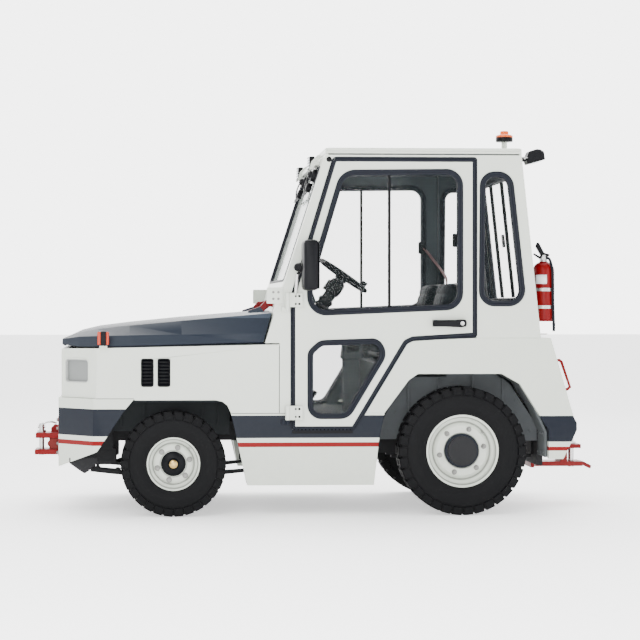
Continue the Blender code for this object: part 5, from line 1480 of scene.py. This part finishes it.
def make_bottle_lever():
    """Carrying handle and lever."""
    x, y, foot = EXTINGUISHER
    work = bmesh.new()
    carry = rounded([(-0.018, 0.338), (-0.018, 0.352), (-0.044, 0.398, 0.004), (-0.036, 0.418, 0.004),
                     (-0.026, 0.417, 0.004), (0.002, 0.364, 0.006), (0.030, 0.356, 0.004),
                     (0.030, 0.346, 0.003), (0.004, 0.338)], 4)
    plate(work, [(x + u, foot + v) for u, v in carry], y - 0.0095, y + 0.0095, lying(), 0.0025)
    lower = rounded([(-0.012, 0.330), (-0.016, 0.342), (-0.052, 0.362, 0.003), (-0.056, 0.354, 0.003),
                     (-0.020, 0.330, 0.004)], 3)
    plate(work, [(x + u, foot + v) for u, v in lower], y - 0.008, y + 0.008, lying(), 0.002)
    add("extinguisher_lever", work, "black")


def make_hose():
    """Hose."""
    x, y, foot = EXTINGUISHER
    place = Matrix.Translation((x, y, foot))
    work = bmesh.new()
    route = curved([(0.010, -0.010, 0.338), (0.024, -0.030, 0.330), (0.031, -0.049, 0.300),
                    (0.036, -0.0575, 0.262), (0.038, -0.0560, 0.180), (0.040, -0.0540, 0.090),
                    (0.043, -0.0515, 0.010), (0.044, -0.0500, -0.022)], 6)
    pipe(work, [place @ point for point in route], 0.0072, 12)
    end = place @ Vector((0.044, -0.0500, -0.012))
    rod(work, end, end + Vector((0.0006, 0, -0.040)), 0.0080, 16, 0.0074)
    rod(work, end + Vector((0, 0, 0.004)), end + Vector((0, 0, -0.004)), 0.0088, 16)
    add("extinguisher_hose", work, "seal")


def make_bottle_bracket():
    """Straps and bracket."""
    x, y, _ = EXTINGUISHER
    work = bmesh.new()
    for z in (1.076, 1.168):
        lathe(work, [(0.0572, -0.0085), (0.0590, -0.0080), (0.0590, 0.0080), (0.0572, 0.0085)], 48,
              Matrix.Translation((x, y, z)), closed=True)
        plate(work, rectangle(x - 0.012, z - 0.009, x + 0.012, z + 0.009, 0.003), y - 0.0625,
              y - 0.0585, lying(), 0.001)
    plate(work, rectangle(y - 0.028, 1.044, y + 0.028, 1.256, 0.006), x - 0.0625, x - 0.0580, facing_x,
          0.001)
    for z in (1.060, 1.235):
        wall = rear_wall(z) + 0.001
        plate(work, rectangle(y - 0.026, z - 0.012, y + 0.026, z + 0.012, 0.003), wall, x - 0.0580,
              facing_x, 0.001)
    plate(work, rectangle(x - 0.040, 0.930, x + 0.014, 0.936, 0.001), y - 0.030, y + 0.030, lying(),
          0.001)
    add("extinguisher_straps", work, "steel")


def make_blank_plate():
    """Blank plate wrapped on the bottle."""
    x, y, _ = EXTINGUISHER
    work = bmesh.new()
    rows = []
    for step in range(9):
        angle = math.radians(-148 + 64 * step / 8)
        rows.append([Vector((x + 0.0576 * math.cos(angle), y + 0.0576 * math.sin(angle), z))
                     for z in (1.198, 1.246)])
    verts = [[work.verts.new(point) for point in row] for row in rows]
    for first, second in zip(verts, verts[1:]):
        work.faces.new((first[0], second[0], second[1], first[1]))
    label = add("extinguisher_plate", work, "clear")
    shell = label.modifiers.new("thickness", "SOLIDIFY")
    shell.thickness = 0.0006


def make_extinguisher():
    make_bottle()
    make_valve()
    make_bottle_lever()
    make_hose()
    make_bottle_bracket()
    make_blank_plate()


# ---------------------------------------------------------------- couplers and tail

def make_coupler_bolts():
    """Coupler bolts."""
    work = bmesh.new()
    for y in (-0.082, 0.082):
        for z in (0.292, 0.340, 0.420, 0.468):
            bolt_head(work, (-1.3875, y, z), (-1, 0, 0), 0.0085, 0.007)
    for y in (-0.092, 0.092):
        for z in (0.216, 0.270):
            bolt_head(work, (1.2005, y, z), (1, 0, 0), 0.0075, 0.006)
    add("coupler_bolts", work, "zinc")


def make_jaw_ribs():
    """Cheek ribs between the front jaws."""
    work = bmesh.new()
    for y in (-0.060, 0.060):
        low, high = sorted((y - 0.005, y + 0.005))
        rib = [(-1.389, 0.308), (-1.389, 0.367), (-1.425, 0.367), (-1.446, 0.345), (-1.446, 0.330),
               (-1.425, 0.308)]
        plate(work, rib, low, high, lying(), 0.001)
    add("jaw_ribs", work, "brown")


def make_front_pin_ring():
    """Wire handle and knob on the front pin."""
    work = bmesh.new()
    loop = curved([(FRONT_PIN_X, -0.006, 0.430), (-1.462, -0.030, 0.446), (-1.430, -0.034, 0.452),
                   (-1.404, -0.016, 0.446), (-1.404, 0.016, 0.446), (-1.430, 0.034, 0.452),
                   (-1.462, 0.030, 0.446), (FRONT_PIN_X, 0.006, 0.430)], 6)
    pipe(work, loop, 0.0032, 8)
    lathe(work, [(0.0, 0.447), (0.010, 0.446), (0.0155, 0.441), (0.0155, 0.434), (0.010, 0.430),
                 (0.0, 0.430)], 24, Matrix.Translation((FRONT_PIN_X, 0, 0)))
    add("front_pin_ring", work, "steel", "front_pin")


def make_rear_pin_ring():
    """Knob and wire handle on the rear pin."""
    work = bmesh.new()
    lathe(work, [(0.0, 0.372), (0.008, 0.372), (0.016, 0.368), (0.018, 0.360), (0.014, 0.352),
                 (0.0, 0.352)], 24, Matrix.Translation((REAR_PIN_X, 0, 0)))
    loop = curved([(REAR_PIN_X, -0.016, 0.362), (1.408, -0.030, 0.362), (1.386, -0.022, 0.362),
                   (1.380, 0.0, 0.362), (1.386, 0.022, 0.362), (1.408, 0.030, 0.362),
                   (REAR_PIN_X, 0.016, 0.362)], 6)
    pipe(work, loop, 0.003, 8)
    add("rear_pin_ring", work, "steel", "rear_pin")


def make_rear_arch_walls():
    """Inner walls of the rear arches."""
    work = bmesh.new()
    wall = [(0.318, 0.450), (0.436, 0.704), (0.450, 0.708), (0.670, 0.708), (0.670, 0.728),
            (0.915, 0.728), (1.003, 0.675), (1.150, 0.450), (1.150, 0.370), (1.060, 0.370),
            (0.960, 0.470), (0.480, 0.470), (0.400, 0.380), (0.318, 0.380)]
    for _, side in SIDES:
        plate(work, wall, 0.424, 0.428, lying(side), 0.001)
        for x0, z0, x1, z1 in ((0.46, 0.50, 0.474, 0.70), (0.62, 0.50, 0.634, 0.70),
                               (0.80, 0.50, 0.814, 0.72), (0.96, 0.50, 0.974, 0.70)):
            plate(work, rectangle(x0, z0, x1, z1, 0.003), 0.428, 0.440, lying(side), 0.002)
        for x, z in ((0.40, 0.52), (0.40, 0.58), (1.04, 0.52), (1.04, 0.58), (0.36, 0.42), (1.11, 0.42)):
            bolt_head(work, (x, side * 0.428, z), (0, side, 0), 0.006, 0.005)
    add("rear_arch_walls", work, "liner")


def make_mud_flaps():
    """Mud flaps."""
    work = bmesh.new()
    for _, side in SIDES:
        plate(work, rounded([(1.1460, 0.300), (1.1575, 0.300), (1.1575, 0.430), (1.060, 0.640),
                             (1.050, 0.634), (1.1460, 0.426)]), 0.470, 0.655, lying(side), 0.001)
        for z in (0.32, 0.42):
            for y in (0.490, 0.560, 0.630):
                bolt_head(work, (1.1458, side * y, z), (-1, 0, 0), 0.005, 0.003)
    add("mud_flaps", work, "flap")


def make_tail_lamps():
    """Tail lamps."""
    rims = bmesh.new()
    red = bmesh.new()
    amber = bmesh.new()
    for _, side in SIDES:
        for z, work in ((0.630, red), (0.560, amber)):
            lean = math.atan(-TAIL_RAKE)
            turn = Matrix.Translation((tail(z) + 0.0005, side * 0.585, z)) @ Matrix.Rotation(
                math.radians(90) - lean, 4, "Y")
            lathe(work, [(0.0, 0.016), (0.014, 0.015), (0.024, 0.011), (0.028, 0.006),
                         (0.028, 0.001)], 32, turn)
            lathe(rims, [(0.028, 0.0), (0.033, 0.0), (0.034, 0.005), (0.031, 0.009), (0.028, 0.008)],
                  32, turn, closed=True)
    add("tail_lamp_rims", rims, "black")
    add("tail_lamps", red, "stop")
    add("tail_signals", amber, "orange")


def make_grab_handle_feet():
    """Feet of the grab handles."""
    work = bmesh.new()
    bolts = bmesh.new()
    for _, side in SIDES:
        y = side * GRAB_HANDLE_Y
        for z in GRAB_HANDLE_FEET:
            plate(work, rectangle(y - 0.018, z - 0.022, y + 0.018, z + 0.022, 0.006), 0.0004, 0.005,
                  lambda u, v, height: (tail(v) + height, u, v), 0.0015)
            for up in (-0.015, 0.015):
                bolt_head(bolts, (tail(z + up) + 0.005, y, z + up), (1, 0, -0.29), 0.0045, 0.003)
    add("grab_handle_feet", work, "red")
    add("grab_handle_bolts", bolts, "zinc")


def make_coupler_fittings():
    make_coupler_bolts()
    make_jaw_ribs()
    make_front_pin_ring()
    make_rear_pin_ring()
    make_rear_arch_walls()
    make_mud_flaps()
    make_tail_lamps()
    make_grab_handle_feet()


# ---------------------------------------------------------------- inside the cab

def soft_pad(name, size, crown, matrix, channels):
    """A stuffed pad: a crowned box, blown up by cloth pressure, with sewn channels on its face.

    size is (length, width, thickness) in the pad's own axes, its face towards +Z.
    """
    length, width, thick = size
    work = bmesh.new()
    bmesh.ops.create_cube(work, size=1.0)
    bmesh.ops.subdivide_edges(work, edges=work.edges[:], cuts=11, use_grid_fill=True)
    for vert in work.verts:
        u, v, w = vert.co.x * 2, vert.co.y * 2, vert.co.z * 2
        pinch = 1.0 - 0.05 * (abs(u) ** 3) * (1 - abs(v) ** 4)
        squeeze = 1.0 - 0.05 * (abs(v) ** 3) * (1 - abs(u) ** 4)
        corner = 1.0 - 0.10 * (abs(u) ** 6) * (abs(v) ** 6)
        rim = max(abs(u), abs(v)) ** 6
        height = w * (1.0 - 0.35 * rim)
        if w > 0:
            height += crown * (1 - u * u) * (1 - v * v) * 2 / thick
        vert.co = (u * length / 2 * squeeze * corner, v * width / 2 * pinch * corner,
                   height * thick / 2)
    mesh = bpy.data.meshes.new(name)
    work.to_mesh(mesh)
    work.free()
    pad = bpy.data.objects.new(name, mesh)
    bpy.context.scene.collection.objects.link(pad)
    inflate(pad, 0.012)
    shape_channels(pad.data, size, channels)
    pad.data.transform(matrix)
    pad.data.shade_smooth()
    pad.data.materials.clear()
    pad.data.materials.append(F["vinyl"])
    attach(pad, "root")
    return pad


def inflate(pad, most):
    """Cloth pressure from inside; no point moves further than most."""
    remesh = pad.modifiers.new("remesh", "REMESH")
    remesh.mode = "VOXEL"
    remesh.voxel_size = 0.007
    bake(pad)
    start = [vert.co.copy() for vert in pad.data.vertices]
    cloth = pad.modifiers.new("cloth", "CLOTH")
    cloth.settings.use_pressure = True
    cloth.settings.uniform_pressure_force = 4.0
    cloth.settings.effector_weights.gravity = 0.0
    cloth.settings.quality = 4
    cloth.point_cache.frame_start = 1
    cloth.point_cache.frame_end = 16
    scene = bpy.context.scene
    for step in range(1, 17):
        scene.frame_set(step)
    bake(pad)
    for vert, before in zip(pad.data.vertices, start):
        move = vert.co - before
        if move.length > most:
            vert.co = before + move * (most / move.length)
    scene.frame_set(1)


def bake(obj):
    """Put the modifiers' result into the mesh and take them off."""
    depsgraph = bpy.context.evaluated_depsgraph_get()
    result = bpy.data.meshes.new_from_object(obj.evaluated_get(depsgraph))
    obj.modifiers.clear()
    obj.data = result


def shape_channels(mesh, size, channels):
    """Sewn lines across the face at the given places along the length."""
    width = size[1]
    for vert in mesh.vertices:
        if vert.co.z < 0.0:
            continue
        depth = 0.0
        for place in channels:
            depth = max(depth, 0.006 * math.exp(-((vert.co.x - place) / 0.006) ** 2))
        for edge in (-0.30, 0.30):
            depth = max(depth, 0.007 * math.exp(-((vert.co.y - edge * width) / 0.006) ** 2))
        vert.co.z -= depth


def make_seats():
    for name, side in SIDES:
        y = side * SEAT_Y
        lean = math.radians(79)
        base = Matrix.Translation((0.480, y, 0.868))
        pan = soft_pad("seat_cushion_" + name, (0.400, 0.440, 0.080), 0.010, base,
                       (-0.10, 0.0, 0.10))
        back = Matrix.Translation((0.672, y, 1.070)) @ Matrix.Rotation(-lean, 4, "Y")
        soft_pad("seat_back_" + name, (0.280, 0.410, 0.055), 0.008, back, (-0.07, 0.0, 0.07))
        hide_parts("seat_" + name)
        # moulded shell and slide rails
        work = bmesh.new()
        low, high = y - 0.228, y + 0.228
        shell = rounded([(0.280, 0.8160, 0.010), (0.660, 0.8160, 0.020), (0.690, 0.880, 0.030),
                         (0.742, 1.190, 0.012), (0.730, 1.205, 0.006), (0.716, 1.195),
                         (0.668, 0.905, 0.020), (0.640, 0.838, 0.015), (0.290, 0.838, 0.008)], 6)
        plate(work, shell, low, high, lying(), 0.006)
        add("seat_shell_" + name, work, "black")
        work = bmesh.new()
        for across in (-0.150, 0.150):
            block(work, (0.300, y + across - 0.016, 0.7905), (0.640, y + across + 0.016, 0.816))
            rod(work, (0.335, y + across, 0.7905), (0.335, y + across, 0.8165), 0.012, 16)
        bevelled(add("seat_rails_" + name, work, "iron"), 0.002)
        # belt from its upper anchor to the floor, with both anchors
        work = bmesh.new()
        strap = [(0.700, side * 0.646, 1.420), (0.745, side * 0.634, 1.360),
                 (0.800, side * 0.618, 1.285), (0.826, side * 0.600, 1.225),
                 (0.812, side * 0.590, 1.120), (0.800, side * 0.585, 0.960),
                 (0.796, side * 0.584, 0.800)]
        ribbon(work, curved(strap, 6), Vector((0.30, 0.90, 0.30)), 0.046, 0.0016)
        add("seat_belt_" + name, work, "belt")
        work = bmesh.new()
        plate(work, rectangle(0.668, 1.385, 0.712, 1.455, 0.008), 0.640, 0.6590, lying(side), 0.003)
        plate(work, rectangle(0.770, 0.7905, 0.826, 0.850, 0.006), 0.560, 0.605, lying(side), 0.003)
        add("belt_anchor_" + name, work, "black")


def ribbon(work, points, across, width, thickness):
    """Flat strap along points."""
    loops = []
    for index, point in enumerate(points):
        before = points[max(index - 1, 0)]
        after = points[min(index + 1, len(points) - 1)]
        along = (after - before).normalized()
        wide = (across - along * across.dot(along)).normalized()
        thin = along.cross(wide)
        loops.append([work.verts.new(point + wide * (width / 2 * a) + thin * (thickness / 2 * b))
                      for a, b in ((-1, -1), (1, -1), (1, 1), (-1, 1))])
    for first, second in zip(loops, loops[1:]):
        for k in range(4):
            after = (k + 1) % 4
            work.faces.new((first[k], first[after], second[after], second[k]))
    work.faces.new(loops[0][::-1])
    work.faces.new(loops[-1])


def make_column():
    """Steering column with its shroud, stalks and button."""
    tilt = math.radians(35)
    centre = Vector((0.135, -0.300, 1.243))
    axis = Vector((math.sin(tilt), 0.0, math.cos(tilt)))
    turn = Matrix.Rotation(tilt, 4, "Y")
    work = bmesh.new()
    matrix = Matrix.Translation(centre) @ turn
    lathe(work, [(0.0285, -0.036), (0.036, -0.040), (0.041, -0.052), (0.043, -0.090), (0.039, -0.112),
                 (0.032, -0.118), (0.032, -0.150), (0.040, -0.156), (0.042, -0.168), (0.036, -0.178),
                 (0.036, -0.186), (0.042, -0.192), (0.042, -0.204), (0.0285, -0.212)], 32, matrix)
    block(work, (-0.050, -0.034, -0.116), (0.030, 0.034, -0.060), matrix)
    add("column_shroud", work, "black")
    work = bmesh.new()
    for way in (-1, 1):
        start = matrix @ Vector((0.0, way * 0.030, -0.072))
        end = matrix @ Vector((0.010, way * 0.135, -0.058))
        pipe(work, [start, (start + end) / 2 + axis * 0.006, end], 0.0042, 8)
        rod(work, end - (end - start).normalized() * 0.004, end + (end - start).normalized() * 0.026,
            0.0085, 14, 0.0075)
    add("column_stalks", work, "black")
    work = bmesh.new()
    lathe(work, [(0.0, 0.0125), (0.018, 0.012), (0.030, 0.008), (0.034, 0.003), (0.034, -0.004)], 32,
          matrix)
    add("wheel_button", work, "black", "hand_wheel")


def make_instruments():
    """Instrument binnacle with blank dials, switches."""
    work = bmesh.new()
    pod = rounded([(-0.170, 1.178, 0.010), (-0.070, 1.172, 0.010), (-0.058, 1.200, 0.010),
                   (-0.110, 1.232, 0.016), (-0.165, 1.212, 0.012)], 4)
    plate(work, pod, -0.420, -0.180, lying(), 0.006)
    add("instrument_pod", work, "trim")
    dials = bmesh.new()
    rims = bmesh.new()
    for y in (-0.365, -0.300, -0.235):
        place = Matrix.Translation((-0.0650, y, 1.196)) @ Matrix.Rotation(math.radians(62), 4, "Y")
        lathe(rims, [(0.022, 0.0), (0.026, 0.0), (0.026, 0.005), (0.022, 0.006)], 28, place,
              closed=True)
        lathe(dials, [(0.0, 0.003), (0.021, 0.003), (0.022, 0.001)], 28, place)
    add("dial_rims", rims, "steel")
    add("dial_faces", dials, "black")
    work = bmesh.new()
    for index in range(5):
        y = 0.10 + 0.055 * index
        plate(work, rectangle(y - 0.014, 1.120, y + 0.014, 1.145, 0.003), -0.0475, -0.0400, facing_x,
              0.002)
    add("dash_switches", work, "black")


def make_pedals():
    """Pedals."""
    work = bmesh.new()
    for y, wide in ((-0.400, 0.035), (-0.290, 0.045), (-0.200, 0.025)):
        pad = rounded([(-0.060, 0.560, 0.004), (-0.015, 0.628, 0.006), (-0.022, 0.633, 0.004),
                       (-0.068, 0.566, 0.004)], 3)
        plate(work, pad, y - wide, y + wide, lying(), 0.002)
        pipe(work, curved([(-0.040, y, 0.598), (-0.090, y, 0.600), (-0.130, y, 0.680),
                           (-0.165, y, 0.780)], 5), 0.007, 8)
        for step in range(4):
            spot = 0.2 + 0.2 * step
            block(work, (-0.0625 + 0.047 * spot, y - wide + 0.004, 0.558 + 0.068 * spot),
                  (-0.0565 + 0.047 * spot, y + wide - 0.004, 0.563 + 0.068 * spot))
    add("pedals", work, "black")


def make_lever_console():
    """Lever console beside the driver's seat."""
    work = bmesh.new()
    console = rounded([(0.150, 0.7905, 0.010), (0.262, 0.7905, 0.010), (0.262, 0.880, 0.020),
                       (0.225, 0.905, 0.015), (0.165, 0.896, 0.015)], 4)
    plate(work, console, -0.085, 0.055, lying(), 0.005)
    console_low = rounded([(0.160, 0.501, 0.004), (0.252, 0.501, 0.004), (0.252, 0.7900, 0.004),
                           (0.160, 0.7900, 0.004)], 3)
    plate(work, console_low, -0.060, 0.030, lying(), 0.004)
    add("lever_console", work, "trim")
    work = bmesh.new()
    for y, height in ((-0.050, 0.075), (-0.010, 0.085), (0.030, 0.060)):
        pipe(work, [(0.205, y, 0.895), (0.196, y, 0.895 + height)], 0.0042, 8)
        lathe(work, [(0.0, 0.026), (0.008, 0.024), (0.0125, 0.016), (0.0125, 0.008), (0.006, 0.0),
                     (0.0, 0.0)], 20, Matrix.Translation((0.195, y, 0.893 + height)))
    rod(work, (0.175, -0.098, 0.850), (0.240, -0.098, 0.850), 0.020, 20)
    add("console_levers", work, "black")


def make_ribbed_mat():
    """Ribbed mat."""
    work = bmesh.new()
    plate(work, rectangle(-0.180, -0.640, 0.248, 0.640, 0.020), 0.5005, 0.5065, flat, 0.002)
    for step in range(26):
        x = -0.165 + 0.0158 * step
        block(work, (x, -0.620, 0.5062), (x + 0.006, 0.620, 0.5088))
    add("ribbed_mat", work, "mat")


def make_headlining():
    """Headlining."""
    work = bmesh.new()
    plate(work, rectangle(0.060, -0.640, 0.985, 0.640, 0.030), 1.836, 1.860, flat, 0.008)
    add("headlining", work, "lining")


def make_controls():
    make_column()
    make_instruments()
    make_pedals()
    make_lever_console()
    make_ribbed_mat()
    make_headlining()


# ---------------------------------------------------------------- studio

def make_studio():
    scene = bpy.context.scene
    world = bpy.data.worlds.new("studio")
    scene.world = world
    world.use_nodes = True
    tree = world.node_tree
    # paler behind the vehicle than in front of it
    direction = tree.nodes.new("ShaderNodeTexCoord")
    split = tree.nodes.new("ShaderNodeSeparateXYZ")
    tree.links.new(direction.outputs["Generated"], split.inputs[0])
    spread = tree.nodes.new("ShaderNodeMapRange")
    spread.interpolation_type = "SMOOTHSTEP"
    spread.inputs["From Min"].default_value = -0.3
    spread.inputs["From Max"].default_value = 0.6
    tree.links.new(split.outputs["Y"], spread.inputs["Value"])
    blend = tree.nodes.new("ShaderNodeMix")
    blend.data_type = "RGBA"
    blend.inputs[6].default_value = (0.80, 0.80, 0.81, 1.0)
    blend.inputs[7].default_value = (5.2, 5.2, 5.2, 1.0)
    tree.links.new(spread.outputs["Result"], blend.inputs[0])
    sky = tree.nodes["Background"]
    tree.links.new(blend.outputs[2], sky.inputs[0])
    sky.inputs[1].default_value = 1.0
    work = bmesh.new()
    bmesh.ops.create_grid(work, x_segments=1, y_segments=1, size=60.0)
    mesh = bpy.data.meshes.new("floor")
    work.to_mesh(mesh)
    work.free()
    floor = bpy.data.objects.new("floor", mesh)
    scene.collection.objects.link(floor)
    shader = Shader("floor")
    shader.surface(Base_Color=(0.93, 0.93, 0.93), Roughness=0.9, Emission_Color=(1.0, 1.0, 1.0))
    shader.principled.inputs["Emission Strength"].default_value = 0.7
    mesh.materials.append(shader.material)
    # name, place, size, power
    lights = (("key", (-3.5, -7.5, 5.5), 5.0, 700.0), ("fill", (5.5, -6.5, 3.0), 5.0, 330.0),
              ("low", (-0.5, -7.0, 0.9), 3.5, 260.0), ("top", (0.0, 0.5, 7.0), 6.0, 300.0),
              ("back", (2.0, 7.0, 5.0), 5.0, 120.0))
    for name, place, size, power in lights:
        data = bpy.data.lights.new(name, "AREA")
        data.size = size
        data.energy = power
        lamp = bpy.data.objects.new(name, data)
        scene.collection.objects.link(lamp)
        lamp.location = place
        lamp.rotation_mode = "QUATERNION"
        lamp.rotation_quaternion = (Vector(place) - Vector((0, 0, 0.8))).to_track_quat("Z", "Y")


def make_camera():
    data = bpy.data.cameras.new("camera")
    data.sensor_width = 36.0
    data.lens = 108.1
    data.shift_x = 0.1025
    data.shift_y = -0.0234
    camera = bpy.data.objects.new("camera", data)
    bpy.context.scene.collection.objects.link(camera)
    camera.location = (-0.855, -10.5, 1.0865)
    camera.rotation_euler = (math.radians(90), 0.0, math.radians(-2.9))
    bpy.context.scene.camera = camera


make_camera()
make_studio()
dress_panels()
make_seals()
make_wheels()
make_nose()
make_door_fittings()
make_roof_fittings()
make_beacon()
make_rear_lamp()
make_extinguisher()
make_coupler_fittings()
make_seats()
make_controls()
